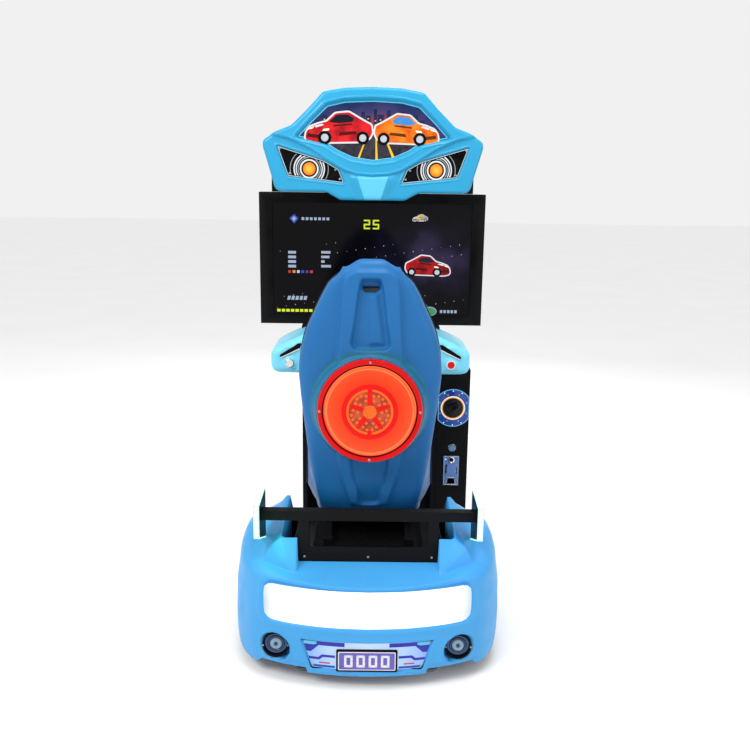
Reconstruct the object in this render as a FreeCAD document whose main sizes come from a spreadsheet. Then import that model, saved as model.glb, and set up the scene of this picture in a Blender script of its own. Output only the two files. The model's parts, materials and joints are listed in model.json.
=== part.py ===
import FreeCAD, Part
import math
import os
import Sketcher

V = FreeCAD.Vector
DIMS = {
    "rail_in": 185, "rail_w": 40, "rail_z": 60, "rail_wall": 3, "rail_rear": -640, "rail_front": 716,
    "deck_z": 100, "deck_t": 12, "deck_half": 285,
    "foot_dia": 60, "stud_dia": 12, "foot_x": 205, "foot_rear": -600, "foot_front": 660,
    "caster_dia": 48, "caster_bore": 8.1, "caster_w": 20, "caster_y": 560, "caster_axle_z": 30,
    "shell_t": 6, "shelf_z": 345, "haunch_in": 228, "body_split": -601, "tail_x": 291, "tail_z": 122,
    "band_half": 317, "band_low": 207, "band_high": 337,
    "wing_half": 338, "wing_y": -600, "wing_d": 30, "wing_z": 513, "wing_h": 33, "upright_in": 189,
    "upright_w": 35, "panel_low": 377, "panel_high": 424, "end_t": 18, "strip_t": 4,
    "seat_base_half": 190, "seat_base_rear": -500, "seat_base_len": 440, "seat_base_top": 330,
    "seat_rail_x": 150, "seat_rail_w": 36, "seat_rail_len": 420, "seat_travel": 120,
    "spine_front": 20, "spine_low": 392, "spine_arc_y": -230, "spine_bend": 190, "spine_lean": 7,
    "spine_back": 790, "seat_t": 8, "lamp_z": 852, "lamp_face": -505, "lamp_out": 168, "lamp_in": 152,
    "ped_half": 285, "ped_t": 18, "ped_rear": 340, "ped_front": 735, "ped_top": 979, "foot_well_z": 560,
    "foot_well_y": 640, "door_half": 199, "door_low": 620, "door_high": 940,
    "col_in": 286, "col_out": 420, "col_face": 338, "col_back": 650, "col_low": 12, "col_top": 800,
    "col_t": 6, "coin_in": 309, "coin_out": 397, "coin_low": 272, "coin_high": 493,
    "shift_x": 350, "shift_z": 636, "shift_dia": 166, "knob_dia": 34,
    "screen_half": 460, "screen_low": 979, "screen_high": 1516, "screen_face": 390, "screen_d": 90,
    "view_half": 407, "view_low": 1018, "view_high": 1477,
    "mast_half": 160, "mast_back": 740,
    "head_face": 310, "head_back": 388, "head_t": 5,
    "dash_face": 125, "dash_back": 388, "dash_t": 6, "button_x": 316, "button_z": 866, "button_dia": 28,
    "wheel_y": 15, "wheel_z": 800, "wheel_tilt": 15, "wheel_ring": 155, "wheel_grip": 14,
    "shaft_dia": 25, "pulley_dia": 140, "motor_pulley_dia": 50, "belt_c": 150, "pulley_at": -400,
    "belt_w": 16, "belt_t": 3, "belt_gap": 0.4,
    "pedal_y": 560, "pedal_z": 150, "gas_x": 70, "brake_x": -70, "pedal_lean": 14,
}

doc = FreeCAD.newDocument("racing_cabinet")
sheet = doc.addObject("Spreadsheet::Sheet", "dims")
nodes = []


def fill_sheet():
    for row, (name, value) in enumerate(DIMS.items(), start=1):
        sheet.set("A%d" % row, name)
        sheet.set("B%d" % row, str(value))
        sheet.setAlias("B%d" % row, name)
    doc.recompute()


def val(name):
    return float(sheet.get(name))


def bind(obj, prop, value):
    if isinstance(value, str):
        obj.setExpression(prop, value)
    elif prop.startswith("Placement"):
        obj.setExpression(prop, "%g" % value)
    else:
        setattr(obj, prop, value)


def place(obj, pos):
    for axis, value in zip("xyz", pos):
        bind(obj, "Placement.Base." + axis, value)


def node(obj, name):
    obj.Label = name
    nodes.append(obj)
    return obj


def box(name, size, pos):
    obj = doc.addObject("Part::Box", name)
    for prop, value in zip(("Length", "Width", "Height"), size):
        bind(obj, prop, value)
    place(obj, pos)
    return obj


def rod(name, radius, height, pos, toward="z"):
    obj = doc.addObject("Part::Cylinder", name)
    bind(obj, "Radius", radius)
    bind(obj, "Height", height)
    turns = {"z": (V(0, 0, 1), 0), "x": (V(0, 1, 0), 90), "y": (V(1, 0, 0), -90)}
    obj.Placement = FreeCAD.Placement(V(0, 0, 0), FreeCAD.Rotation(*turns[toward]))
    place(obj, pos)
    return obj


def cut(name, base, tool):
    obj = doc.addObject("Part::Cut", name)
    obj.Base = base
    obj.Tool = tool
    return obj


def fuse(name, shapes):
    obj = doc.addObject("Part::MultiFuse", name)
    obj.Shapes = shapes
    return obj


def group(name, links):
    obj = doc.addObject("Part::Compound", name)
    obj.Links = links
    return obj


def feature(name, shape):
    obj = doc.addObject("Part::Feature", name)
    obj.Shape = shape
    return obj


def tube(name, size, pos, along):
    wall = "dims.rail_wall"
    outer = box(name + "_out", size, pos)
    inner_size = []
    inner_pos = []
    for axis, length, start in zip("xyz", size, pos):
        if axis == along:
            inner_size.append(length)
            inner_pos.append(start)
        else:
            inner_size.append("%s - 2 * %s" % (length, wall))
            inner_pos.append("%s + %s" % (start, wall))
    inner = box(name + "_in", inner_size, inner_pos)
    return cut(name, outer, inner)


def mirror_x(shape):
    return shape.mirror(V(0, 0, 0), V(1, 0, 0))


def both_sides(shape):
    return Part.makeCompound([shape, mirror_x(shape)])


def ring_points(half):
    """Close a right-hand outline given from its top centre round to its bottom centre."""
    left = [(-x, z) for x, z in reversed(half) if x > 0]
    return list(half) + left


def inset(points, gap):
    """Move every edge of a closed outline inward by gap."""
    area = sum(a[0] * b[1] - b[0] * a[1] for a, b in zip(points, points[1:] + points[:1]))
    side = gap if area > 0 else -gap
    count = len(points)
    moved = []
    for i in range(count):
        p, q, r = points[i - 1], points[i], points[(i + 1) % count]
        ax, az = q[0] - p[0], q[1] - p[1]
        bx, bz = r[0] - q[0], r[1] - q[1]
        la, lb = math.hypot(ax, az), math.hypot(bx, bz)
        nx, nz = -az / la - bz / lb, ax / la + bx / lb
        scale = side / (1 + (ax * bx + az * bz) / (la * lb))
        moved.append((q[0] + nx * scale, q[1] + nz * scale))
    return moved


def wire_xz(points, y):
    corners = [V(x, y, z) for x, z in points]
    return Part.makePolygon(corners + corners[:1])


def prism_xz(points, y0, y1):
    return Part.Face(wire_xz(points, y0)).extrude(V(0, y1 - y0, 0))


def new_body(name):
    return doc.addObject("PartDesign::Body", name)


def sketch_on(body, name, role, offset=0):
    sketch = body.newObject("Sketcher::SketchObject", name)
    plane = [f for f in body.Origin.OriginFeatures if f.Role == role][0]
    sketch.AttachmentSupport = [(plane, "")]
    sketch.MapMode = "FlatFace"
    sketch.AttachmentOffset = FreeCAD.Placement(V(0, 0, offset), FreeCAD.Rotation())
    return sketch


def add_circle(sketch, x, y, radius):
    start = len(sketch.Constraints)
    size = radius if not isinstance(radius, str) else 10.0
    index = sketch.addGeometry(Part.Circle(V(x, y, 0), V(0, 0, 1), size), False)
    sketch.addConstraint(Sketcher.Constraint("Radius", index, size))
    if isinstance(radius, str):
        sketch.setExpression("Constraints[%d]" % start, radius)
    if x == 0 and y == 0:
        sketch.addConstraint(Sketcher.Constraint("Coincident", index, 3, -1, 1))
    return index


def add_outline(sketch, points):
    for (ax, ay), (bx, by) in zip(points, points[1:] + points[:1]):
        sketch.addGeometry(Part.LineSegment(V(ax, ay, 0), V(bx, by, 0)), False)


def add_pad(body, name, sketch, length, midplane=False):
    pad = body.newObject("PartDesign::Pad", name)
    pad.Profile = sketch
    bind(pad, "Length", length)
    if midplane:
        pad.SideType = "Symmetric"
    return pad


def add_pocket(body, name, sketch):
    pocket = body.newObject("PartDesign::Pocket", name)
    pocket.Profile = sketch
    pocket.Type = "ThroughAll"
    pocket.SideType = "Symmetric"
    return pocket


def make_base_frame():
    length = "dims.rail_front - dims.rail_rear"
    w = "dims.rail_w"
    low = "dims.rail_z"
    parts = [
        tube("rail_right", (w, length, w), ("dims.rail_in", "dims.rail_rear", low), "y"),
        tube("rail_left", (w, length, w), ("-dims.rail_in - dims.rail_w", "dims.rail_rear", low), "y"),
    ]
    for i, y in enumerate((-620, -240, 345, 675)):
        parts.append(tube("cross_%d" % i, ("2 * dims.rail_in", w, w), ("-dims.rail_in", str(y), low), "x"))
    stub = "dims.ped_half - dims.ped_t - dims.rail_in - dims.rail_w"
    for i, y in enumerate((345, 675)):
        edge = "dims.rail_in + dims.rail_w"
        parts.append(tube("stub_right_%d" % i, (stub, w, w), (edge, str(y), low), "x"))
        parts.append(tube("stub_left_%d" % i, (stub, w, w), ("-dims.ped_half + dims.ped_t", str(y), low), "x"))
    tab = "dims.haunch_in - dims.rail_in - dims.rail_w"
    for i, y in enumerate((-500, -300)):
        parts.append(box("tab_right_%d" % i, (tab, 40, w), ("dims.rail_in + dims.rail_w", y, low)))
        parts.append(box("tab_left_%d" % i, (tab, 40, w), ("-dims.haunch_in", y, low)))
    for side in (1, -1):
        parts.append(caster_fork("fork_right" if side > 0 else "fork_left", side))
    node(group("base_frame", parts), "base_frame")


def caster_fork(name, side):
    x = "%d * dims.foot_x" % side
    plate = box(name + "_plate", (36, 60, 4), (x + " - 18", "dims.caster_y - 30", 56))
    parts = [plate]
    for i, shift in enumerate((-15, 11.5)):
        spot = ("%s + %g" % (x, shift), "dims.caster_y - 12", 20)
        parts.append(box("%s_cheek_%d" % (name, i), (3.5, 24, 37), spot))
    parts.append(rod(name + "_axle", 4, 30, (x + " - 15", "dims.caster_y", "dims.caster_axle_z"), "x"))
    return fuse(name, parts)


def make_floor_deck():
    z = "dims.deck_z"
    t = "dims.deck_t"
    rear = box("deck_rear", (454, 335, t), (-227, -565, z))
    middle = box("deck_middle", ("2 * dims.deck_half", 569, t), ("-dims.deck_half", -229.5, z))
    front = box("deck_front", (532, 377, t), (-266, 340, z))
    skirts = []
    for i, x in enumerate(("-dims.deck_half", "dims.deck_half - 20")):
        skirts.append(box("skirt_%d" % i, (20, 568, 40), (x, -229, "dims.deck_z - 40")))
    node(group("floor_deck", [rear, middle, front] + skirts), "floor_deck")


def make_levelling_feet():
    feet = []
    spots = [(sx, y) for sx in (-1, 1) for y in ("dims.foot_rear", "dims.foot_front")]
    for i, (sx, y) in enumerate(spots):
        x = "%d * dims.foot_x" % sx
        pad = rod("foot_pad_%d" % i, "dims.foot_dia / 2", 10, (x, y, 0))
        stud = rod("foot_stud_%d" % i, "dims.stud_dia / 2", "dims.rail_z - 5", (x, y, 5))
        nut = doc.addObject("Part::Prism", "foot_nut_%d" % i)
        nut.Polygon = 6
        nut.Circumradius = 11
        nut.Height = 10
        place(nut, (x, y, "dims.rail_z - 10"))
        feet.append(fuse("foot_%d" % i, [pad, stud, nut]))
    node(group("levelling_feet", feet), "levelling_feet")


def make_transport_wheels():
    for name, side in (("transport_wheel_left", -1), ("transport_wheel_right", 1)):
        body = new_body(name)
        sketch = sketch_on(body, name + "_sketch", "YZ_Plane")
        add_circle(sketch, 0, 0, "dims.caster_dia / 2")
        add_circle(sketch, 0, 0, "dims.caster_bore / 2")
        add_pad(body, name + "_pad", sketch, "dims.caster_w", True)
        place(body, ("%d * dims.foot_x" % side, "dims.caster_y", "dims.caster_axle_z"))
        node(body, name)


def bumper_loft(gap, front):
    """Solid bounded by the curved rear outline, moved inward by gap."""
    rear = [(0, -740), (100, -734), (190, -718), (280, -691), (358, -651), (402, -601)]
    levels = ((45, 7, 0.975), (100, 0, 0.995), (170, 0, 1.0), (270, 5, 0.997), (340, 14, 0.987), (385, 34, 0.97))
    wires = []
    for z, back, wide in levels:
        half = [(x * wide * (1 - gap / 430.0), y + back + gap) for x, y in rear]
        half[-1] = (half[-1][0], front)
        points = [V(-x, y, z) for x, y in reversed(half)] + [V(x, y, z) for x, y in half[1:]]
        curve = Part.BSplineCurve()
        curve.interpolate(points)
        closing = Part.LineSegment(points[-1], points[0])
        wires.append(Part.Wire([curve.toShape(), closing.toShape()]))
    return Part.makeLoft(wires, True, False)


def below_lid(gap):
    """Half space under the sloping top of the bumper, lowered by gap."""
    block = Part.makeBox(1000, 400, 500, V(-500, -200, -500 - gap))
    block.rotate(V(0, 0, 0), V(1, 0, 0), 14)
    block.translate(V(0, -720, val("shelf_z")))
    return block


def rounded_window(half, low, high, radius):
    block = Part.makeBox(2 * half, 220, high - low, V(-half, -790, low))
    edges = [e for e in block.Edges if abs(e.Vertexes[0].Point.y - e.Vertexes[1].Point.y) > 100]
    return block.makeFillet(radius, edges)


def panel_prism(grow):
    points = [(209 + grow, 163 + grow), (175 + grow, 67 - grow), (-175 - grow, 67 - grow),
              (-209 - grow, 163 + grow)]
    return prism_xz(points, -790, -600)


HAUNCH = (
    (-601, ((391, 45), (401, 170), (396, 330), (376, 362), (318, 372), (292, 392), (281, 452), (228, 452), (228, 45))),
    (-540, ((424, 45), (432, 170), (425, 330), (394, 376), (332, 388), (302, 422), (280, 470), (240, 462), (228, 45))),
    (-460, ((438, 45), (445, 170), (438, 332), (404, 394), (350, 430), (304, 470), (274, 504), (248, 490), (228, 45))),
    (-400, ((440, 45), (446, 170), (441, 332), (408, 402), (352, 456), (300, 488), (272, 521), (250, 505), (228, 45))),
    (-310, ((441, 45), (446, 170), (441, 330), (410, 398), (358, 432), (310, 460), (280, 472), (250, 455), (228, 45))),
    (-230, ((441, 45), (446, 170), (440, 318), (408, 368), (358, 392), (310, 402), (282, 406), (250, 404), (228, 45))),
)


def haunch_loft(gap, rear, front):
    wires = []
    for i, (y, points) in enumerate(HAUNCH):
        outline = inset(list(points), gap) if gap else list(points)
        if gap:
            outline[0] = (outline[0][0], 30)
            outline[-1] = (outline[-1][0], 30)
        level = rear if i == 0 else (front if i == len(HAUNCH) - 1 else y)
        wires.append(wire_xz(outline, level))
    return Part.makeLoft(wires, True, True)


def make_rear_body():
    t = val("shell_t")
    split = val("body_split")
    hollow = bumper_loft(t, split + 10).common(below_lid(t))
    bumper = bumper_loft(0, split).common(below_lid(0)).cut(hollow)
    bumper = bumper.cut(rounded_window(val("band_half"), val("band_low"), val("band_high"), 28))
    bumper = bumper.cut(panel_prism(0))
    for side in (1, -1):
        spot = V(side * val("tail_x"), -790, val("tail_z"))
        bumper = bumper.cut(Part.makeCylinder(45, 200, spot, V(0, 1, 0)))
    haunch = haunch_loft(0, split, -230).cut(haunch_loft(t, split - 1, -236))
    solids = bumper.Solids + haunch.Solids + mirror_x(haunch).Solids
    node(feature("rear_body_shell", Part.makeCompound(solids)), "rear_body_shell")


def make_rear_trim():
    window = rounded_window(val("band_half") - 1, val("band_low") + 1, val("band_high") - 1, 27)
    front = val("body_split") + 10
    lens = bumper_loft(9, front).cut(bumper_loft(13, front)).common(window)
    node(feature("rear_light_lens", lens), "rear_light_lens")
    skin = bumper_loft(9, front).cut(bumper_loft(13, front)).common(panel_prism(-1))
    node(feature("number_panel", skin), "number_panel")
    plate_area = Part.makeBox(182, 150, 70, V(-91, -790, 68))
    plate = bumper_loft(5, front).cut(bumper_loft(9, front)).common(plate_area)
    node(feature("number_plate", plate), "number_plate")


def make_tail_lamps():
    bezels = []
    lenses = []
    for i, side in enumerate((-1, 1)):
        x = "%d * dims.tail_x" % side
        outer = rod("tail_out_%d" % i, 44, 30, (x, -678, "dims.tail_z"), "y")
        inner = rod("tail_hole_%d" % i, 35.5, 34, (x, -680, "dims.tail_z"), "y")
        bezels.append(cut("tail_bezel_%d" % i, outer, inner))
        lenses.append(rod("tail_lens_%d" % i, 35, 22, (x, -672, "dims.tail_z"), "y"))
    node(group("tail_lamp_bezels", bezels), "tail_lamp_bezels")
    node(group("tail_lamp_lenses", lenses), "tail_lamp_lenses")


def make_spoiler_frame():
    y = "dims.wing_y"
    size = ("dims.upright_w", "dims.wing_d", "dims.wing_z - dims.deck_z")
    bar = box("spoiler_bar", ("2 * dims.wing_half", "dims.wing_d", "dims.wing_h"),
              ("-dims.wing_half", y, "dims.wing_z"))
    right = box("upright_right", size, ("dims.upright_in", y, "dims.deck_z"))
    left = box("upright_left", size, ("-dims.upright_in - dims.upright_w", y, "dims.deck_z"))
    panel = box("spoiler_panel", ("2 * dims.upright_in", 5, "dims.panel_high - dims.panel_low"),
                ("-dims.upright_in", y, "dims.panel_low"))
    node(group("spoiler_frame", [bar, right, left, panel]), "spoiler_frame")


ENDPLATE = ((-665, 478), (-505, 413), (-505, 590), (-665, 586))


def endplate_solid(outline):
    points = [V(val("wing_half"), y, z) for y, z in outline]
    face = Part.Face(Part.makePolygon(points + points[:1]))
    return face.extrude(V(val("end_t"), 0, 0))


def make_endplates():
    core = inset(list(ENDPLATE), val("strip_t"))
    core = [(-505 if y > -550 else y, z) for y, z in core]
    plate = endplate_solid(core)
    node(feature("spoiler_endplates", both_sides(plate)), "spoiler_endplates")
    strip = endplate_solid(ENDPLATE).cut(plate)
    node(feature("endplate_light_strips", both_sides(strip)), "endplate_light_strips")


def make_seat_mount():
    outer = box("seat_base_out", ("2 * dims.seat_base_half", "dims.seat_base_len", "dims.seat_base_top - 112"),
                ("-dims.seat_base_half", "dims.seat_base_rear", 112))
    inner = box("seat_base_in", ("2 * dims.seat_base_half - 6", "dims.seat_base_len - 6",
                "dims.seat_base_top - 118"), ("-dims.seat_base_half + 3", "dims.seat_base_rear + 3", 115))
    node(cut("seat_pedestal", outer, inner), "seat_pedestal")
    lowers = []
    uppers = []
    for i, side in enumerate((-1, 1)):
        x = "%d * dims.seat_rail_x" % side
        lowers.append(lower_rail(i, x))
        uppers.append(upper_rail(i, x))
    for i, x in enumerate((-120, 114)):
        hole = rod("lever_tab_hole_%d" % i, 6.05, 30, (x - 10, -90, 352), "x")
        uppers.append(cut("lever_tab_%d" % i, box("lever_tab_box_%d" % i, (6, 28, 30), (x, -104, 342)), hole))
    for i, y in enumerate((-470, -140)):
        uppers.append(box("seat_strap_%d" % i, ("2 * dims.seat_rail_x + 36", 36, 6),
                          ("-dims.seat_rail_x - 18", y, 364)))
        for j, x in enumerate((-150, 120)):
            uppers.append(box("seat_spacer_%d%d" % (i, j), (30, 30, 21.5), (x, y + 3, 370)))
    node(group("seat_lower_rails", lowers), "seat_lower_rails")
    node(group("seat_upper_rails", uppers), "seat_upper_rails")


def lower_rail(i, x):
    outer = box("rail_low_out_%d" % i, ("dims.seat_rail_w", "dims.seat_rail_len", 20),
                (x + " - dims.seat_rail_w / 2", -490, "dims.seat_base_top"))
    inner = box("rail_low_in_%d" % i, ("dims.seat_rail_w - 6", "dims.seat_rail_len + 2", 14),
                (x + " - dims.seat_rail_w / 2 + 3", -491, "dims.seat_base_top + 3"))
    slot = box("rail_low_slot_%d" % i, (14, "dims.seat_rail_len + 2", 10),
               (x + " - 7", -491, "dims.seat_base_top + 12"))
    return cut("rail_low_%d" % i, outer, fuse("rail_low_tool_%d" % i, [inner, slot]))


def upper_rail(i, x):
    foot = box("rail_up_foot_%d" % i, ("dims.seat_rail_w - 8", 370, 12), (x + " - dims.seat_rail_w / 2 + 4", -475,
               "dims.seat_base_top + 4"))
    web = box("rail_up_web_%d" % i, (10, 370, 22), (x + " - 5", -475, "dims.seat_base_top + 12"))
    head = box("rail_up_head_%d" % i, (36, 370, 8), (x + " - 18", -475, "dims.seat_base_top + 26"))
    return fuse("rail_up_%d" % i, [foot, web, head])


def make_seat_lever():
    bar = rod("lever_bar", 6, 248, (-124, -90, 352), "x")
    arms = []
    for i, x in enumerate((-60, 60)):
        arms.append(rod("lever_arm_%d" % i, 5, 94, (x, -90, 352), "y"))
    grip = rod("lever_grip", 8, 144, (-72, 2, 352), "x")
    node(fuse("seat_lock_lever", [bar, grip] + arms), "seat_lock_lever")


SEAT_ROWS = (
    (0, 212, 220, 36), (110, 206, 222, 74), (250, 188, 221, 116), (345, 174, 219, 132), (435, 174, 217, 138),
    (525, 188, 216, 138), (600, 202, 214, 132), (680, 210, 214, 128), (822, 226, 227, 120),
    (943, 235, 235, 112), (1050, 214, 214, 96), (1143, 176, 176, 82), (1242, 126, 126, 62), (1300, 84, 84, 48),
)


def spine(s):
    """Point and normal of the seat's outer line, s mm from the front edge of the pan."""
    bend = val("spine_bend")
    y0 = val("spine_arc_y")
    z0 = val("spine_low")
    pan = val("spine_front") - y0
    sweep = math.radians(90 - val("spine_lean"))
    if s <= pan:
        return (y0 + pan - s, z0), (0.0, 1.0)
    if s <= pan + bend * sweep:
        a = (s - pan) / bend
        return (y0 - bend * math.sin(a), z0 + bend * (1 - math.cos(a))), (math.sin(a), math.cos(a))
    rest = s - pan - bend * sweep
    n = (math.sin(sweep), math.cos(sweep))
    y = y0 - bend * n[0] - n[1] * rest
    z = z0 + bend * (1 - n[1]) + n[0] * rest
    return (y, z), n


def seat_wire(s, outline):
    (y, z), (ny, nz) = spine(s)
    corners = [V(x, y + ny * n, z + nz * n) for x, n in outline]
    return Part.makePolygon(corners + corners[:1])


def seat_outline(w, lip, h, t):
    r = min(34.0, 0.3 * w, 0.45 * h)
    outer = [(lip, h), (w + 0.4 * (lip - w), 0.5 * h + 0.2 * r), (w, r), (w - 0.35 * r, 0.35 * r), (w - r, 0)]
    inner = [(w - r * 1.02, t), (w - 0.35 * r - 0.8 * t, 0.35 * r + 0.8 * t), (w - t, r + 0.3 * t),
             (w + 0.4 * (lip - w) - t, 0.5 * h + 0.2 * r), (lip - t, h)]
    right = outer + []
    left = [(-x, n) for x, n in reversed(outer)]
    inner_left = [(-x, n) for x, n in reversed(inner)]
    return right + left + inner_left + inner


def seat_row(s):
    """Width, lip and wall height of the bucket at s, eased between the listed rows."""
    for low, high in zip(SEAT_ROWS, SEAT_ROWS[1:]):
        if s <= high[0]:
            f = (s - low[0]) / (high[0] - low[0])
            return [a + (b - a) * f for a, b in zip(low[1:], high[1:])]
    return list(SEAT_ROWS[-1][1:])


def smooth_seat_row(s):
    reach = min(40.0, s, SEAT_ROWS[-1][0] - s)
    rows = [seat_row(s + reach * k / 2.0) for k in range(-2, 3)]
    return [sum(values) / len(rows) for values in zip(*rows)]


def make_seat_shell():
    t = val("seat_t")
    end = SEAT_ROWS[-1][0]
    steps = [end * i / 30.0 for i in range(31)]
    wires = [seat_wire(s, seat_outline(*smooth_seat_row(s), t)) for s in steps]
    shell = Part.makeLoft(wires, True, False)
    face = val("lamp_face")
    z = val("lamp_z")
    cone = Part.makeCone(172, 196, 85, V(0, face, z), V(0, 1, 0))
    (y1, z1), (ny, nz) = spine(1240)
    keep = Part.makeBox(600, 300, 1200, V(-300, -300 + 4, -900))
    keep.rotate(V(0, 0, 0), V(1, 0, 0), math.degrees(math.asin(nz)))
    keep.translate(V(0, y1, z1))
    room = Part.makeCylinder(158, 200, V(0, face + 6, z), V(0, 1, 0))
    boss = cone.cut(room).common(keep)
    slot = Part.makeBox(58, 200, 26, V(-29, -600, 1236))
    node(feature("seat_shell", shell.fuse(boss).cut(slot)), "seat_shell")


def pad_loft(rows):
    wires = []
    for s, w, low, high in rows:
        edge = min(18.0, (high - low) * 0.4)
        outline = [(w, low), (w, high - edge), (w - edge, high), (-w + edge, high), (-w, high - edge), (-w, low)]
        wires.append(seat_wire(s, outline))
    return Part.makeLoft(wires, True, False)


def make_pads():
    base = ((8, 170, 11, 52), (60, 168, 11, 66), (160, 158, 11, 70), (250, 144, 11, 72), (310, 134, 13, 74))
    back = ((480, 128, 13, 52), (600, 160, 11, 56), (760, 174, 11, 52), (930, 186, 11, 46), (1060, 164, 11, 44),
            (1160, 120, 11, 42), (1225, 84, 11, 36))
    node(feature("seat_base_pad", pad_loft(base)), "seat_base_pad")
    node(feature("seat_back_pad", pad_loft(back)), "seat_back_pad")


def make_seat_lamp():
    z = "dims.lamp_z"
    out = rod("lamp_ring_out", "dims.lamp_out", 22, (0, "dims.lamp_face - 22", z), "y")
    hole = rod("lamp_ring_hole", "dims.lamp_in", 30, (0, "dims.lamp_face - 26", z), "y")
    ring = cut("lamp_ring_body", out, hole)
    screws = []
    for i, (dx, dz) in enumerate(((0, 1), (1, 0), (0, -1), (-1, 0))):
        spot = (160 * dx, "dims.lamp_face - 24", "dims.lamp_z + %d" % (160 * dz))
        screws.append(rod("lamp_screw_%d" % i, 4, 6, spot, "y"))
    node(fuse("seat_lamp_ring", [ring] + screws), "seat_lamp_ring")
    lens = rod("lamp_lens_disc", "dims.lamp_in - 1", 16, (0, "dims.lamp_face - 16", z), "y")
    hub = rod("lamp_lens_hub", 89, 6, (0, "dims.lamp_face - 20", z), "y")
    node(fuse("seat_lamp_lens", [lens, hub]), "seat_lamp_lens")


def make_pedestal():
    h = "dims.ped_half"
    t = "dims.ped_t"
    rear = "dims.ped_rear"
    depth = "dims.ped_front - dims.ped_rear"
    wide = "2 * dims.ped_half - 2 * dims.ped_t"
    left = "-dims.ped_half + dims.ped_t"
    bay = "dims.foot_well_z"
    back = "dims.ped_front - dims.ped_t"
    under = "dims.ped_top - dims.ped_t"
    parts = [
        box("ped_right", (t, depth, "dims.ped_top - 60"), (h + " - " + t, rear, 60)),
        box("ped_left", (t, depth, "dims.ped_top - 60"), ("-" + h, rear, 60)),
        box("ped_top_panel", (wide, depth, t), (left, rear, under)),
        box("ped_ceiling", (wide, "dims.foot_well_y - dims.ped_rear - 18", 12), (left, "dims.ped_rear + 18", bay)),
        box("ped_well_back", (wide, 12, "dims.foot_well_z + 12 - 112"), (left, "dims.foot_well_y", 112)),
        box("ped_back_low", (wide, t, "dims.door_low - 60"), (left, back, 60)),
        box("ped_back_high", (wide, t, "dims.ped_top - dims.ped_t - dims.door_high"), (left, back, "dims.door_high")),
    ]
    jamb = "dims.ped_half - dims.ped_t - dims.door_half - 1"
    door_h = "dims.door_high - dims.door_low"
    parts.append(box("ped_jamb_left", (jamb, t, door_h), (left, back, "dims.door_low")))
    parts.append(box("ped_jamb_right", (jamb, t, door_h), ("dims.door_half + 1", back, "dims.door_low")))
    face_low = "dims.foot_well_z"
    parts.append(box("ped_face_low", (wide, t, 100), (left, rear, face_low)))
    parts.append(box("ped_face_high", (wide, t, "dims.ped_top - dims.ped_t - 776"), (left, rear, 776)))
    for i, x in enumerate((left, "70")):
        parts.append(box("ped_face_side_%d" % i, ("dims.ped_half - dims.ped_t - 70", t, 116), (x, rear, 660)))
    node(group("pedestal_body", parts), "pedestal_body")


def make_service_door():
    door = box("service_leaf", ("2 * dims.door_half", "dims.ped_t", "dims.door_high - dims.door_low - 2"),
               ("-dims.door_half", "dims.ped_front - dims.ped_t", "dims.door_low + 1"))
    well = box("service_latch_well", (60, 10, 30), (115, "dims.ped_front - 10", 765))
    latch = box("service_latch", (50, 6, 8), (120, "dims.ped_front - 10", 776))
    leaf = cut("service_cut", door, well)
    vents = []
    for i in range(6):
        vents.append(box("vent_%d" % i, (200, 40, 5), (-100, "dims.ped_front - 30", "%d" % (660 + 14 * i))))
    leaf = cut("service_vented", leaf, fuse("service_vents", vents))
    node(group("service_door", [leaf, latch]), "service_door")


def make_bay_contents():
    case = box("pc_case", (180, 230, 120), (-262, 400, 574))
    supply = box("pc_supply", (110, 90, 60), (-40, 600, 574))
    node(group("game_electronics", [case, supply]), "game_electronics")
    flange = box("inlet_flange", (70, 4, 46), (150, "dims.ped_front", 130))
    pocket = box("inlet_pocket", (32, 4, 24), (158, "dims.ped_front + 1", 141))
    switch = box("inlet_switch", (14, 3, 22), (200, "dims.ped_front + 1", 142))
    recess = box("inlet_switch_recess", (18, 4, 26), (198, "dims.ped_front + 1", 140))
    tools = fuse("inlet_tools", [pocket, recess])
    node(group("power_inlet", [cut("inlet_cut", flange, tools), switch]), "power_inlet")


def make_column():
    t = "dims.col_t"
    x0, x1 = "dims.col_in", "dims.col_out"
    face = "dims.col_face"
    low, top = "dims.col_low", "dims.col_top"
    wide = "dims.col_out - dims.col_in"
    side_d = "dims.col_back - dims.col_face - 2 * dims.col_t"
    parts = [
        box("col_outer", (t, side_d, "dims.col_top - dims.col_low"), (x1 + " - " + t, face + " + " + t, low)),
        box("col_inner", (t, side_d, "dims.col_top - dims.col_low"), (x0, face + " + " + t, low)),
        box("col_back_panel", (wide, t, "dims.col_top - dims.col_low"), (x0, "dims.col_back - dims.col_t", low)),
        box("col_roof", (wide + " - 2 * dims.col_t", side_d, t), (x0 + " + " + t, face + " + " + t, top + " - " + t)),
        box("col_floor", (wide + " - 2 * dims.col_t", side_d, t), (x0 + " + " + t, face + " + " + t, low)),
        box("col_face_high", (wide, t, "dims.col_top - dims.coin_high"), (x0, face, "dims.coin_high")),
        box("col_face_low", (wide, t, "dims.coin_low - dims.col_low"), (x0, face, low)),
    ]
    door_h = "dims.coin_high - dims.coin_low"
    parts.append(box("col_face_left", ("dims.coin_in - dims.col_in", t, door_h), (x0, face, "dims.coin_low")))
    parts.append(box("col_face_right", ("dims.col_out - dims.coin_out", t, door_h), ("dims.coin_out", face,
                     "dims.coin_low")))
    node(group("coin_column", parts), "coin_column")


def make_coin_door():
    body = new_body("coin_door")
    leaf = sketch_on(body, "coin_leaf", "XZ_Plane", -342)
    add_outline(leaf, [(309.5, 272.5), (396.5, 272.5), (396.5, 492.5), (309.5, 492.5)])
    add_pad(body, "coin_leaf_pad", leaf, 4)
    holes = sketch_on(body, "coin_leaf_holes", "XZ_Plane", -338)
    add_circle(holes, 353, 459, 10.4)
    add_circle(holes, 351, 405, 8.4)
    add_outline(holes, [(333, 297), (369, 297), (369, 322), (333, 322)])
    add_pocket(body, "coin_leaf_cut", holes)
    node(body, "coin_door")


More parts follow.
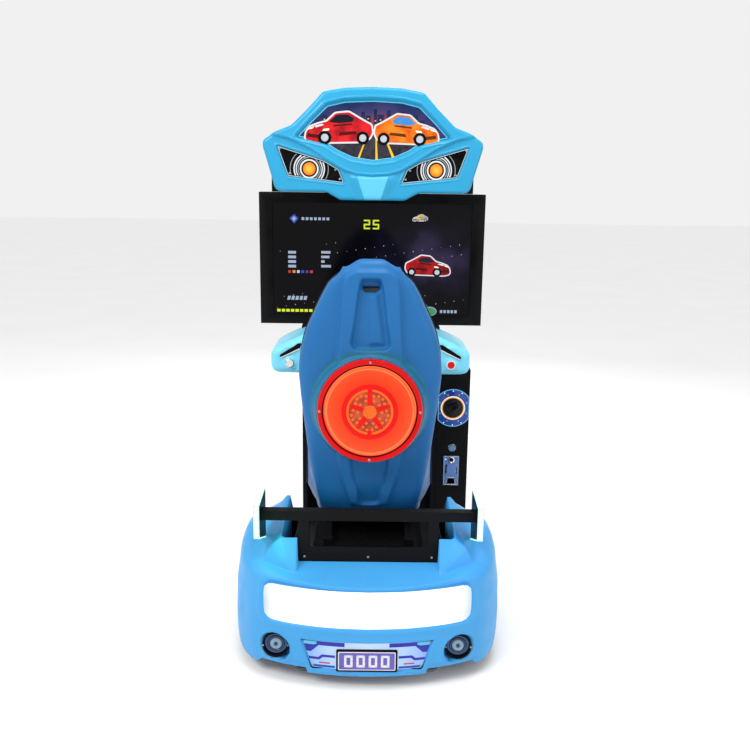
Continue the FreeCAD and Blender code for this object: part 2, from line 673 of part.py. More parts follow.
def make_coin_plate():
    body = new_body("coin_plate_face")
    face = sketch_on(body, "coin_face", "XZ_Plane", -338)
    add_outline(face, [(318, 291), (384, 291), (384, 423), (318, 423)])
    add_pad(body, "coin_face_pad", face, 4)
    holes = sketch_on(body, "coin_face_holes", "XZ_Plane", -334)
    add_circle(holes, 351, 405, 8.4)
    add_outline(holes, [(333, 297), (369, 297), (369, 322), (333, 322)])
    add_outline(holes, [(374, 340), (377, 340), (377, 372), (374, 372)])
    add_pocket(body, "coin_face_cut", holes)
    mech = box("coin_mech", (40, 36, 62), (330, 342, 330))
    node(group("coin_plate", [body, mech]), "coin_plate")
    head = rod("reject_head", 8, 4, (351, 330, 405), "y")
    stem = rod("reject_stem", 5, 9, (351, 333, 405), "y")
    node(fuse("coin_reject_button", [head, stem]), "coin_reject_button")


def make_coin_lock():
    face = rod("lock_face", 13, 4, (353, 333.5, 459), "y")
    barrel = rod("lock_barrel", 10, 17, (353, 336, 459), "y")
    cam = box("lock_cam", (12, 3, 48), (347, 348, 411))
    key = box("lock_keyway", (2, 3, 9), (352, 332.5, 454.5))
    solid = cut("lock_cut", fuse("lock_fuse", [face, barrel, cam]), key)
    node(solid, "coin_door_lock")


def make_cash_box():
    outer = box("cash_out", (80, 210, 170), (313, 380, 20))
    inner = box("cash_in", (76, 206, 170), (315, 382, 22))
    node(cut("cash_box", outer, inner), "cash_box")


def make_shifter():
    body = new_body("shifter_plate")
    disc = sketch_on(body, "shifter_disc", "XZ_Plane")
    add_circle(disc, 0, 0, "dims.shift_dia / 2")
    add_pad(body, "shifter_disc_pad", disc, 6)
    holes = sketch_on(body, "shifter_holes", "XZ_Plane", 6)
    for i in range(8):
        a = math.radians(22.5 + 45 * i)
        add_circle(holes, 61 * math.cos(a), 61 * math.sin(a), 3)
    add_pocket(body, "shifter_holes_cut", holes)
    trims = sketch_on(body, "shifter_trims", "XZ_Plane")
    for low, high in ((-90, -64), (70, 90)):
        add_outline(trims, [(low, -90), (high, -90), (high, 90), (low, 90)])
    add_pocket(body, "shifter_trims_cut", trims)
    place(body, ("dims.shift_x", "dims.col_face", "dims.shift_z"))
    node(body, "shifter_plate")
    x = "dims.shift_x"
    disc = rod("housing_disc", 47, 4, (x, "dims.col_face - 10", "dims.shift_z"), "y")
    cheeks = []
    for i, shift in enumerate((-22, 15)):
        spot = ("dims.shift_x + %d" % shift, "dims.col_face - 42", "dims.shift_z - 21")
        cheeks.append(box("housing_cheek_%d" % i, (7, 34, 42), spot))
    pin = rod("housing_pin", 4, 40, ("dims.shift_x - 20", "dims.col_face - 28", "dims.shift_z"), "x")
    node(fuse("shifter_housing", [disc, pin] + cheeks), "shifter_housing")


def make_gear_lever():
    boss = rod("gear_boss", 10, 26, (-13, 0, 0), "x")
    stem = rod("gear_stem", 6, 88, (0, 0, 0))
    bore = rod("gear_bore", 4.05, 40, (-20, 0, 0), "x")
    lever = cut("gear_lever", fuse("gear_fuse", [boss, stem]), bore)
    lever.Placement = FreeCAD.Placement(V(0, 0, 0), FreeCAD.Rotation(V(1, 0, 0), 66))
    place(lever, ("dims.shift_x", "dims.col_face - 28", "dims.shift_z"))
    node(lever, "gear_lever")
    ball = doc.addObject("Part::Sphere", "knob_ball")
    bind(ball, "Radius", "dims.knob_dia / 2")
    bind(ball, "Placement.Base.z", 90)
    hole = rod("knob_hole", 6, 30, (0, 0, 58))
    knob = cut("gear_knob", ball, hole)
    knob.Placement = FreeCAD.Placement(V(0, 0, 0), FreeCAD.Rotation(V(1, 0, 0), 66))
    place(knob, ("dims.shift_x", "dims.col_face - 28", "dims.shift_z"))
    node(knob, "gear_knob")


HEADER = ((0, 1919), (110, 1915), (195, 1900), (255, 1836), (320, 1773), (385, 1748), (432, 1716), (434, 1694),
          (397, 1567), (388, 1532), (370, 1519), (183, 1519), (127, 1489), (0, 1489))
WINDOW = ((0, 1867), (110, 1862), (179, 1846), (240, 1788), (295, 1730), (250, 1722), (185, 1707), (140, 1678),
          (80, 1652), (0, 1641))
LAMP = ((378, 1696), (335, 1579), (111, 1554), (134, 1609), (190, 1640), (268, 1664))
BACKBOX = ((0, 1890), (180, 1876), (300, 1762), (398, 1704), (407, 1600), (407, 1518), (0, 1518))


def loft_xz(levels):
    return Part.makeLoft([wire_xz(points, y) for y, points in levels], True, True)


def make_header():
    t = val("head_t")
    face = val("head_face")
    back = val("head_back")
    ring = ring_points(list(HEADER))
    outer = loft_xz(((face, inset(ring, 16)), (face + 18, ring), (back, ring)))
    inner = loft_xz(((face + t, inset(ring, 18)), (face + 18, inset(ring, t)), (back + 1, inset(ring, t))))
    window = prism_xz(ring_points(list(WINDOW)), face - 10, face + 40)
    lamp = prism_xz(list(LAMP), face - 10, face + 40)
    shell = outer.cut(inner).cut(window).cut(lamp).cut(mirror_x(lamp))
    node(feature("header_shell", shell), "header_shell")
    lens = prism_xz(inset(ring_points(list(WINDOW)), 0.6), face + 1, face + 4)
    node(feature("header_art_lens", lens), "header_art_lens")
    plate = prism_xz(inset(list(LAMP), 0.6), face + 1, face + 4)
    amber = Part.makeCylinder(20, 4, V(250, face - 2, 1608), V(0, 1, 0))
    ring_one = Part.makeCylinder(36, 2, V(250, face - 0.5, 1608), V(0, 1, 0))
    ring_one = ring_one.cut(Part.makeCylinder(30, 4, V(250, face - 1, 1608), V(0, 1, 0)))
    lens_side = plate.fuse([amber, ring_one])
    node(feature("headlamp_lenses", both_sides(lens_side)), "headlamp_lenses")


def make_mast():
    low = "dims.ped_top"
    size = ("2 * dims.mast_half", "dims.mast_back - 480", "dims.screen_high - dims.ped_top")
    outer = box("mast_out", size, ("-dims.mast_half", 480, low))
    inner = box("mast_in", ("2 * dims.mast_half - 6", "dims.mast_back - 486", "dims.screen_high - dims.ped_top - 6"),
                ("-dims.mast_half + 3", 483, "dims.ped_top + 3"))
    post = cut("mast_post", outer, inner)
    ring = ring_points(list(BACKBOX))
    back = prism_xz(ring, 389, 560).cut(prism_xz(inset(ring, 3), 392, 557))
    node(group("monitor_mast", [post, feature("header_backbox", back)]), "monitor_mast")


def make_monitor():
    half = "dims.screen_half"
    low = "dims.screen_low"
    face = "dims.screen_face"
    outer = box("screen_out", ("2 * " + half, "dims.screen_d", "dims.screen_high - dims.screen_low"),
                ("-" + half, face, low))
    glass = box("screen_glass", ("2 * dims.view_half", 13, "dims.view_high - dims.view_low"),
                ("-dims.view_half", face + " - 1", "dims.view_low"))
    space = box("screen_space", ("2 * " + half + " - 8", "dims.screen_d - 20",
                "dims.screen_high - dims.screen_low - 8"), ("-" + half + " + 4", face + " + 16", low + " + 4"))
    node(cut("monitor_housing", outer, fuse("screen_tools", [glass, space])), "monitor_housing")
    panel = box("monitor_panel", ("2 * dims.view_half - 1", 5, "dims.view_high - dims.view_low - 1"),
                ("-dims.view_half + 0.5", face + " + 7", "dims.view_low + 0.5"))
    node(panel, "monitor_panel")


DASH = ((0, 1010), (150, 1004), (263, 977), (330, 947), (376, 922), (392, 905), (392, 850), (384, 830), (360, 822),
        (290, 822), (190, 818), (150, 660), (0, 660))


def make_dash():
    t = val("dash_t")
    face = val("dash_face")
    back = val("dash_back")
    ring = ring_points(list(DASH))
    outer = loft_xz(((face, inset(ring, 10)), (face + 14, ring), (back, ring)))
    inner = loft_xz(((face + t, inset(ring, 14)), (face + 14, inset(ring, t)), (back + 1, inset(ring, t))))
    shell = outer.cut(inner)
    shell = shell.cut(Part.makeBox(572, 80, 440, V(-286, 339.5, 539.5)))
    shell = shell.cut(Part.makeCylinder(34, 60, V(0, 100, 774), V(0, 1, 0)))
    for side in (1, -1):
        spot = V(side * val("button_x"), 100, val("button_z"))
        shell = shell.cut(Part.makeCylinder(16, 60, spot, V(0, 1, 0)))
    node(feature("dash_shell", shell), "dash_shell")
    strip = prism_xz([(356, 897), (350, 886), (276, 925), (270, 944), (282, 944)], face - 3, face)
    node(feature("dash_light_strips", both_sides(strip)), "dash_light_strips")


def make_buttons():
    z = "dims.button_z"
    bezels = []
    for i, side in enumerate((-1, 1)):
        x = "%d * dims.button_x" % side
        flange = rod("bezel_flange_%d" % i, 18, 4, (x, "dims.dash_face - 4", z), "y")
        barrel = rod("bezel_barrel_%d" % i, 15.8, 34, (x, "dims.dash_face - 1", z), "y")
        hole = rod("bezel_hole_%d" % i, "dims.button_dia / 2 + 0.35", 60, (x, "dims.dash_face - 20", z), "y")
        bezels.append(cut("bezel_%d" % i, fuse("bezel_fuse_%d" % i, [flange, barrel]), hole))
        name = "start_button" if side < 0 else "view_button"
        node(rod(name, "dims.button_dia / 2", 24, (x, "dims.dash_face - 9", z), "y"), name)
    node(group("button_bezels", bezels), "button_bezels")


def tilted(obj, distance=0.0):
    """Place an object built on the wheel axis, distance mm along it."""
    tilt = math.radians(val("wheel_tilt"))
    axis = V(0, -math.cos(tilt), math.sin(tilt))
    start = V(0, val("wheel_y"), val("wheel_z")) + axis * distance
    obj.Placement = FreeCAD.Placement(start, FreeCAD.Rotation(V(1, 0, 0), 90 - val("wheel_tilt")))
    return obj


def make_wheel():
    rim = doc.addObject("Part::Torus", "wheel_rim")
    bind(rim, "Radius1", "dims.wheel_ring")
    bind(rim, "Radius2", "dims.wheel_grip")
    node(tilted(rim), "wheel_rim")
    body = new_body("wheel_spokes")
    arms = sketch_on(body, "spoke_sketch", "XY_Plane", -4)
    add_outline(arms, [(-140.5, -14), (-30, -20), (-14, -30), (-14, -140), (14, -140), (14, -30), (30, -20),
                       (140.5, -14), (140.5, 12), (40, 22), (-40, 22), (-140.5, 12)])
    add_pad(body, "spoke_pad", arms, 8)
    hub = sketch_on(body, "hub_sketch", "XY_Plane", -30)
    add_circle(hub, 0, 0, 38)
    add_pad(body, "hub_pad", hub, 40)
    node(tilted(body), "wheel_spokes")


def make_shaft():
    shaft = doc.addObject("Part::Cylinder", "steering_shaft")
    bind(shaft, "Radius", "dims.shaft_dia / 2")
    bind(shaft, "Height", 385)
    node(tilted(shaft, -415), "steering_shaft")


def make_pulleys():
    body = new_body("drive_pulley")
    disc = sketch_on(body, "pulley_sketch", "XY_Plane", -10)
    add_circle(disc, 0, 0, "dims.pulley_dia / 2")
    add_pad(body, "pulley_pad", disc, 20)
    for i, level in enumerate((-12, 10)):
        flange = sketch_on(body, "pulley_flange_%d" % i, "XY_Plane", level)
        add_circle(flange, 0, 0, "dims.pulley_dia / 2 + 4")
        add_pad(body, "pulley_flange_pad_%d" % i, flange, 2)
    holes = sketch_on(body, "pulley_holes", "XY_Plane", 12)
    add_circle(holes, 0, 0, "dims.shaft_dia / 2")
    for i in range(5):
        a = 2 * math.pi * i / 5
        add_circle(holes, 42 * math.cos(a), 42 * math.sin(a), 12)
    add_pocket(body, "pulley_cut", holes)
    node(tilted(body, val("pulley_at")), "drive_pulley")
    small = new_body("motor_pulley")
    disc = sketch_on(small, "small_pulley_sketch", "XY_Plane", -10)
    add_circle(disc, 0, 0, "dims.motor_pulley_dia / 2")
    add_pad(small, "small_pulley_pad", disc, 20)
    spindle = sketch_on(small, "spindle_sketch", "XY_Plane", -50)
    add_circle(spindle, 0, 0, 6)
    add_pad(small, "spindle_pad", spindle, 45)
    node(tilted(small, val("pulley_at")), "motor_pulley")
    small.Placement.Base = small.Placement.Base + up_axis() * val("belt_c")


def up_axis():
    tilt = math.radians(val("wheel_tilt"))
    return V(0, math.sin(tilt), math.cos(tilt))


def loop_face(big, small, span):
    """Region inside a belt line round two circles; the small one is span up the y axis."""
    lean = math.asin((big - small) / span)
    c, s = math.cos(lean), math.sin(lean)
    b_right, b_left = V(big * c, big * s, 0), V(-big * c, big * s, 0)
    s_right, s_left = V(small * c, span + small * s, 0), V(-small * c, span + small * s, 0)
    edges = [
        Part.Arc(b_left, V(0, -big, 0), b_right).toShape(),
        Part.LineSegment(b_right, s_right).toShape(),
        Part.Arc(s_right, V(0, span + small, 0), s_left).toShape(),
        Part.LineSegment(s_left, b_left).toShape(),
    ]
    return Part.Face(Part.Wire(edges))


def make_belt():
    gap = val("belt_gap")
    t = val("belt_t")
    big = val("pulley_dia") / 2 + gap
    small = val("motor_pulley_dia") / 2 + gap
    span = val("belt_c")
    width = val("belt_w")
    outer = loop_face(big + t, small + t, span).extrude(V(0, 0, width))
    inner = loop_face(big, small, span).extrude(V(0, 0, width))
    node(tilted(feature("drive_belt", outer.cut(inner)), val("pulley_at") - width / 2), "drive_belt")


def make_steering_column():
    bearing = val("shaft_dia") / 2 + 0.05
    tube_out = feature("column_tube", Part.makeCylinder(26, 250))
    tilted(tube_out, -372)
    flange = box("column_flange", (180, 8, 110), (-90, 331.5, 668))
    bore = feature("column_bore", Part.makeCylinder(bearing, 300))
    tilted(bore, -390)
    relief = feature("column_relief", Part.makeCylinder(20, 200))
    tilted(relief, -347)
    solid = cut("column_solid", fuse("column_fuse", [tube_out, flange]), fuse("column_tools", [bore, relief]))
    plate = tilted(feature("motor_plate_blank", Part.makeBox(112, 110, 6, V(-56, 95, 0))), -424)
    hole = tilted(feature("motor_plate_hole", Part.makeCylinder(20, 40, V(0, val("belt_c"), 0))), -440)
    front = box("motor_front", (112, 6, 120), (-56, 358.5, 780))
    cheeks = []
    for i, x in enumerate((-56, 51)):
        cheeks.append(box("motor_cheek_%d" % i, (5, 90, 60), (x, 360, 800)))
    bracket = cut("motor_bracket", fuse("motor_bracket_fuse", [plate, front] + cheeks), hole)
    node(group("steering_column", [solid, bracket]), "steering_column")


def make_motor():
    span = val("belt_c")
    can = Part.makeCylinder(40, 110, V(0, span, 0))
    boss = Part.makeCylinder(19.8, 8, V(0, span, 109))
    bore = Part.makeCylinder(6.05, 60, V(0, span, 78))
    node(tilted(feature("feedback_motor", can.fuse(boss).cut(bore)), -534), "feedback_motor")


def make_pedal_box():
    y = "dims.pedal_y"
    z = "dims.pedal_z"
    parts = [box("pedal_plate", (300, 166, 6), (-150, 470, 112)), box("pedal_wall", (300, 6, 150), (-150, 630, 118))]
    for name, x in (("gas", "dims.gas_x"), ("brake", "dims.brake_x")):
        for i, shift in enumerate((-24, 18)):
            spot = ("%s + %d" % (x, shift), y + " - 18", 118)
            parts.append(box("%s_cheek_%d" % (name, i), (6, 36, "dims.pedal_z - 100"), spot))
        parts.append(rod(name + "_pin", 5, 46, (x + " - 23", y, z), "x"))
    node(group("pedal_box", [parts[0], parts[1], fuse("gas_mount", parts[2:5]), fuse("brake_mount", parts[5:])]),
         "pedal_box")


def make_pedal(name, x, wide, tall):
    boss = rod(name + "_boss", 13, 34, (-17, 0, 0), "x")
    arm = box(name + "_arm", (16, 10, 150), (-8, -5, 4))
    pad = box(name + "_pad", (wide, 8, tall), (-wide / 2, -16, 160 - tall))
    ribs = []
    for i in range(5):
        ribs.append(box("%s_rib_%d" % (name, i), (wide - 12, 4, 5), (6 - wide / 2, -19, 168 - tall + i * (tall - 20) / 4)))
    bore = rod(name + "_bore", 5.05, 60, (-30, 0, 0), "x")
    link = box(name + "_link", (16, 14, 12), (-8, -12, 120))
    solid = cut(name, fuse(name + "_fuse", [boss, arm, pad, link] + ribs), bore)
    solid.Placement = FreeCAD.Placement(V(0, 0, 0), FreeCAD.Rotation(V(1, 0, 0), val("pedal_lean")))
    place(solid, (x, "dims.pedal_y", "dims.pedal_z"))
    node(solid, name)


def check_and_export():
    doc.recompute()
    os.makedirs("parts", exist_ok=True)
    for old in os.listdir("parts"):
        os.remove(os.path.join("parts", old))
    for obj in nodes:
        bad = "Invalid" in obj.State or "Error" in obj.State
        shape = obj.Shape
        if bad or shape.isNull() or not shape.isValid() or not shape.Solids:
            raise SystemExit("%s is not a valid solid: %s" % (obj.Label, obj.State))
        shape.exportStep("parts/%s.step" % obj.Label)
        print(obj.Label, len(shape.Solids), round(shape.Volume / 1e6, 3))


fill_sheet()
make_base_frame()
make_floor_deck()
make_levelling_feet()
make_transport_wheels()
make_rear_body()
make_rear_trim()
make_tail_lamps()
make_spoiler_frame()
make_endplates()
make_seat_mount()
make_seat_lever()
make_seat_shell()
make_pads()
make_seat_lamp()
make_pedestal()
make_service_door()
make_bay_contents()
make_column()
make_coin_door()
make_coin_plate()
make_coin_lock()
make_cash_box()
make_shifter()
make_gear_lever()
make_header()
make_mast()
make_monitor()
make_dash()
make_buttons()
make_wheel()
make_shaft()
make_pulleys()
make_belt()
make_steering_column()
make_motor()
make_pedal_box()
make_pedal("accelerator_pedal", "dims.gas_x", 60, 130)
make_pedal("brake_pedal", "dims.brake_x", 84, 80)
check_and_export()
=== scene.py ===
import json
import math

import bmesh
import bpy
import numpy as np
from mathutils import Matrix, Vector


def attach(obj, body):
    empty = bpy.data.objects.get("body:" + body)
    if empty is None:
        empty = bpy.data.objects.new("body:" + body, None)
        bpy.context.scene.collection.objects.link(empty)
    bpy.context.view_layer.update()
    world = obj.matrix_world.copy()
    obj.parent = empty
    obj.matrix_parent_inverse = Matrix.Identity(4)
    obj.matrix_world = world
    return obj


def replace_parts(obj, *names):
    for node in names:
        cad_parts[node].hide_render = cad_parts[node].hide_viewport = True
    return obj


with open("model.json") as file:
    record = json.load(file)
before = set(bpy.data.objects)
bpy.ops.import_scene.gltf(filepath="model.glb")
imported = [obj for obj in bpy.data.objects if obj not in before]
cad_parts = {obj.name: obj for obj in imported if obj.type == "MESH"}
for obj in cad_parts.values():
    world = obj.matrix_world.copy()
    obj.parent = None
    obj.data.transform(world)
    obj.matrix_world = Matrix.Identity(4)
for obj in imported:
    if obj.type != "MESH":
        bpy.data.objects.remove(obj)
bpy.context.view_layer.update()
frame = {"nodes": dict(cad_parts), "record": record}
NODES = frame["nodes"]
TAU = 2 * math.pi


# ---------------------------------------------------------------- shape maths, in mm

def ease(low, high, x):
    t = np.clip((x - low) / (high - low), 0, 1)
    return t * t * (3 - 2 * t)


def inside(edge, soft):
    """1 inside an outline and 0 outside, from its signed distance."""
    return 1 - ease(-soft, soft, edge)


def hump(x, centre, half):
    return 1 - ease(0, half, np.abs(x - centre))


def catmull(points, count):
    """Evenly spaced points on a smooth curve through the given ones."""
    p = np.array(points, float)
    p = np.vstack([2 * p[0] - p[1], p, 2 * p[-1] - p[-2]])
    dense = []
    for a, b, c, d in zip(p, p[1:], p[2:], p[3:]):
        t = np.linspace(0, 1, 24, endpoint=False)[:, None]
        dense.append(0.5 * (2 * b + (c - a) * t + (2 * a - 5 * b + 4 * c - d) * t ** 2
                            + (3 * b - a - 3 * c + d) * t ** 3))
    dense = np.vstack(dense + [p[-2][None]])
    run = np.concatenate([[0], np.cumsum(np.linalg.norm(np.diff(dense, axis=0), axis=1))])
    at = np.linspace(0, run[-1], count)
    return np.stack([np.interp(at, run, dense[:, k]) for k in range(dense.shape[1])], 1)


def mirrored(half):
    """A closed outline from its right half, listed from top centre to bottom centre."""
    return list(half) + [(-x, z) for x, z in reversed(half) if x > 0]


def flip_x(outline):
    return [(-x, z) for x, z in reversed(outline)]


def distance(outline, x, z):
    """Signed distance to a closed outline, negative inside."""
    best = np.full(np.shape(x), 1e9)
    hit = np.zeros(np.shape(x), bool)
    for (ax, az), (bx, bz) in zip(outline, list(outline[1:]) + list(outline[:1])):
        ex, ez = bx - ax, bz - az
        t = np.clip(((x - ax) * ex + (z - az) * ez) / (ex * ex + ez * ez), 0, 1)
        best = np.minimum(best, np.hypot(x - ax - t * ex, z - az - t * ez))
        if az != bz:
            hit ^= ((az > z) != (bz > z)) & (x < (bx - ax) * (z - az) / (bz - az) + ax)
    return np.where(hit, -best, best)


def shrink(outline, gap):
    """A closed outline with its edges moved inward by gap."""
    pts = list(outline)
    area = sum(a[0] * b[1] - b[0] * a[1] for a, b in zip(pts, pts[1:] + pts[:1]))
    side = gap if area > 0 else -gap
    moved = []
    for i, q in enumerate(pts):
        p, r = pts[i - 1], pts[(i + 1) % len(pts)]
        ax, az, bx, bz = q[0] - p[0], q[1] - p[1], r[0] - q[0], r[1] - q[1]
        la, lb = math.hypot(ax, az), math.hypot(bx, bz)
        scale = side / (1 + (ax * bx + az * bz) / (la * lb))
        moved.append((q[0] + (-az / la - bz / lb) * scale, q[1] + (ax / la + bx / lb) * scale))
    return moved


def rounded(outline, radius, steps=5):
    """A closed outline with its corners rounded."""
    out = []
    n = len(outline)
    for i in range(n):
        p, q, r = (np.array(outline[j % n], float) for j in (i - 1, i, i + 1))
        a, b = p - q, r - q
        cut = min(radius, 0.45 * np.linalg.norm(a), 0.45 * np.linalg.norm(b))
        a, b = q + a / np.linalg.norm(a) * cut, q + b / np.linalg.norm(b) * cut
        for t in np.linspace(0, 1, steps):
            out.append(tuple((1 - t) ** 2 * a + 2 * t * (1 - t) * q + t * t * b))
    return out


def rect(x, z, wide, tall):
    """A rectangle from its lower left corner."""
    return [(x, z), (x + wide, z), (x + wide, z + tall), (x, z + tall)]


def circle(x, z, r, count=32, squeeze=1.0):
    return [(x + r * math.cos(TAU * k / count), z + squeeze * r * math.sin(TAU * k / count)) for k in range(count)]


# ---------------------------------------------------------------- materials

def linear(colour):
    return [c / 12.92 if c <= 0.04045 else ((c + 0.055) / 1.055) ** 2.4 for c in (v / 255 for v in colour)] + [1.0]


def shader(name):
    mat = bpy.data.materials.new(name)
    mat.use_nodes = True
    return mat, mat.node_tree.nodes, mat.node_tree.links, mat.node_tree.nodes["Principled BSDF"]


def noise(nodes, links, scale, detail=4, stretch=None):
    coords = nodes.new("ShaderNodeTexCoord")
    tex = nodes.new("ShaderNodeTexNoise")
    tex.inputs["Scale"].default_value = scale
    tex.inputs["Detail"].default_value = detail
    source = coords.outputs["Object"]
    if stretch:
        mapping = nodes.new("ShaderNodeMapping")
        mapping.inputs["Scale"].default_value = stretch
        links.new(source, mapping.inputs["Vector"])
        source = mapping.outputs["Vector"]
    links.new(source, tex.inputs["Vector"])
    return tex.outputs["Fac"]


def ramp(nodes, links, source, stops):
    node = nodes.new("ShaderNodeValToRGB")
    while len(node.color_ramp.elements) < len(stops):
        node.color_ramp.elements.new(0.5)
    for element, (at, colour) in zip(node.color_ramp.elements, stops):
        element.position = at
        element.color = colour
    links.new(source, node.inputs["Fac"])
    return node.outputs["Color"]


def span(nodes, links, source, low, high):
    """The middle of a noise, from 0.3 to 0.7, spread over low to high."""
    node = nodes.new("ShaderNodeMapRange")
    for socket, value in (("From Min", 0.3), ("From Max", 0.7), ("To Min", low), ("To Max", high)):
        node.inputs[socket].default_value = value
    links.new(source, node.inputs["Value"])
    return node.outputs["Result"]


def finish_like(name, colour, rough, vary=0.08, tone=3.0, grain=260.0, relief=0.05, metal=0.0, coat=0.0,
                stretch=None, spec=0.25, wear=0.0):
    """A surface with drifting tone, uneven gloss and fine relief."""
    mat, nodes, links, main = shader(name)
    base = linear(colour)
    dark = [c * (1 - vary) for c in base[:3]] + [1]
    pale = [min(1, c * (1 + vary) + 0.003) for c in base[:3]] + [1]
    tint = ramp(nodes, links, noise(nodes, links, tone, 3), ((0.3, dark), (0.7, pale)))
    if wear:
        geometry = nodes.new("ShaderNodeNewGeometry")
        edge = ramp(nodes, links, geometry.outputs["Pointiness"], ((0.53, (0, 0, 0, 1)), (0.62, (1, 1, 1, 1))))
        mix = nodes.new("ShaderNodeMix")
        mix.data_type = "RGBA"
        mix.inputs[7].default_value = [min(1, c * 1.8 + wear) for c in base[:3]] + [1]
        links.new(edge, mix.inputs[0])
        links.new(tint, mix.inputs[6])
        tint = mix.outputs[2]
    links.new(tint, main.inputs["Base Color"])
    links.new(span(nodes, links, noise(nodes, links, tone * 9, 4, stretch), rough * 0.82, min(1, rough * 1.2)),
              main.inputs["Roughness"])
    rise = nodes.new("ShaderNodeBump")
    rise.inputs["Strength"].default_value = relief
    rise.inputs["Distance"].default_value = 0.001
    links.new(noise(nodes, links, grain, 5, stretch), rise.inputs["Height"])
    links.new(rise.outputs["Normal"], main.inputs["Normal"])
    main.inputs["Metallic"].default_value = metal
    main.inputs["Coat Weight"].default_value = coat
    main.inputs["Coat Roughness"].default_value = 0.12
    main.inputs["Specular IOR Level"].default_value = spec
    return mat


def glow(name, colour, strength, vary=0.12, tone=14.0, second=None):
    """A lit lens or backlit print, slightly uneven, drifting to a second colour if one is given."""
    mat, nodes, links, main = shader(name)
    full = linear(colour)
    other = linear(second) if second else [c * (1 - vary) for c in full[:3]] + [1]
    source = noise(nodes, links, tone, 2)
    tint = ramp(nodes, links, source, ((0.35, other), (0.65, full)))
    links.new(tint, main.inputs["Emission Color"])
    links.new(ramp(nodes, links, source, ((0.35, [c * 0.3 for c in other[:3]] + [1]),
                                          (0.65, [c * 0.3 for c in full[:3]] + [1]))), main.inputs["Base Color"])
    main.inputs["Emission Strength"].default_value = strength
    main.inputs["Roughness"].default_value = 0.25
    main.inputs["Specular IOR Level"].default_value = 0.12
    return mat


def spread_glow(name, centre, flat, reach, stops, strength, gloss=0.22, blotch=0.0, tone=8.0):
    """Emission by distance from a centre, measured in metres along the axes that flat keeps."""
    mat, nodes, links, main = shader(name)
    coords = nodes.new("ShaderNodeTexCoord")
    shift = nodes.new("ShaderNodeVectorMath")
    shift.operation = "SUBTRACT"
    shift.inputs[1].default_value = centre
    links.new(coords.outputs["Object"], shift.inputs[0])
    scale = nodes.new("ShaderNodeVectorMath")
    scale.operation = "MULTIPLY"
    scale.inputs[1].default_value = [f / reach for f in flat]
    links.new(shift.outputs["Vector"], scale.inputs[0])
    size = nodes.new("ShaderNodeVectorMath")
    size.operation = "LENGTH"
    links.new(scale.outputs["Vector"], size.inputs[0])
    far = size.outputs["Value"]
    if blotch:
        add = nodes.new("ShaderNodeMath")
        add.operation = "ADD"
        links.new(far, add.inputs[0])
        links.new(span(nodes, links, noise(nodes, links, tone, 5), -blotch, blotch), add.inputs[1])
        far = add.outputs["Value"]
    tint = ramp(nodes, links, far, [(at, linear(c)) for at, c in stops])
    links.new(tint, main.inputs["Emission Color"])
    deep = [(at, [v * 0.25 for v in linear(c)[:3]] + [1]) for at, c in stops]
    links.new(ramp(nodes, links, far, deep), main.inputs["Base Color"])
    main.inputs["Emission Strength"].default_value = strength
    main.inputs["Specular IOR Level"].default_value = 0.12
    main.inputs["Roughness"].default_value = gloss
    return mat


MAT = {
    "body": finish_like("body_gelcoat", (58, 146, 204), 0.45, 0.04, 2.2, 420, 0.03, coat=0.08),
    "seat": finish_like("seat_gelcoat", (17, 95, 154), 0.5, 0.06, 2.5, 420, 0.04, coat=0.03),
    # painted shade: a darker, more teal copy of the seat gelcoat for the shaded rim round the lamp boss
    "boss": finish_like("seat_boss_shade_gelcoat", (24, 100, 134), 0.5, 0.06, 2.5, 420, 0.04, coat=0.03),
    "header": finish_like("header_gelcoat", (33, 144, 186), 0.34, 0.04, 2.5, 420, 0.03, coat=0.15),
    "pale": finish_like("pale_gelcoat", (84, 178, 210), 0.34, 0.04, 2.5, 420, 0.03, coat=0.15),
    "dash": finish_like("dash_gelcoat", (112, 200, 226), 0.35, 0.04, 2.5, 420, 0.03, coat=0.15),
    "powder": finish_like("black_powder_coat", (8, 8, 9), 0.5, 0.25, 8, 900, 0.35, spec=0.04, wear=0.003),
    "board": finish_like("black_laminate", (8, 8, 14), 0.42, 0.2, 6, 600, 0.25, spec=0.05, wear=0.003),
    "deck": finish_like("ribbed_deck", (18, 18, 19), 0.6, 0.3, 10, 140, 0.8, spec=0.3),
    "plastic": finish_like("moulded_black", (7, 7, 8), 0.38, 0.25, 12, 700, 0.3, spec=0.07),
    "rubber": finish_like("black_rubber", (22, 22, 22), 0.75, 0.3, 16, 500, 0.5, spec=0.3),
    "leather": finish_like("black_vinyl", (24, 24, 27), 0.46, 0.3, 20, 330, 0.6, spec=0.45),
    "zinc": finish_like("zinc_plate", (170, 172, 175), 0.34, 0.12, 14, 300, 0.12, metal=0.95),
    "chrome": finish_like("bright_chrome", (215, 216, 218), 0.12, 0.05, 10, 200, 0.03, metal=1.0),
    "alu": finish_like("brushed_alu", (185, 188, 192), 0.32, 0.1, 10, 60, 0.2, metal=0.95, stretch=(1, 40, 40)),
    "dark_alu": finish_like("dark_alu", (52, 53, 56), 0.36, 0.15, 10, 90, 0.15, metal=0.8),
    "grey": finish_like("grey_case", (98, 100, 104), 0.5, 0.1, 6, 500, 0.2),
    "screw": finish_like("screw_steel", (150, 150, 152), 0.3, 0.15, 60, 300, 0.1, metal=0.9),
    "stitch": finish_like("blue_thread", (60, 160, 215), 0.7, 0.15, 90, 900, 0.6),
    "white_print": glow("white_print", (244, 246, 250), 0.55, 0.06, 30),
    "band": spread_glow("band_white", (0, -0.7, 0.272), (1, 0, 0.5), 0.34,
                        ((0, (255, 255, 255)), (0.72, (250, 252, 255)), (0.88, (214, 220, 255)),
                         (1, (160, 172, 246))), 1.25, 0.3, 0.03, 9),
    "black_print": finish_like("black_print", (7, 7, 9), 0.3, 0.3, 40, 300, 0.05, spec=0.04),
}


# ---------------------------------------------------------------- mesh tools

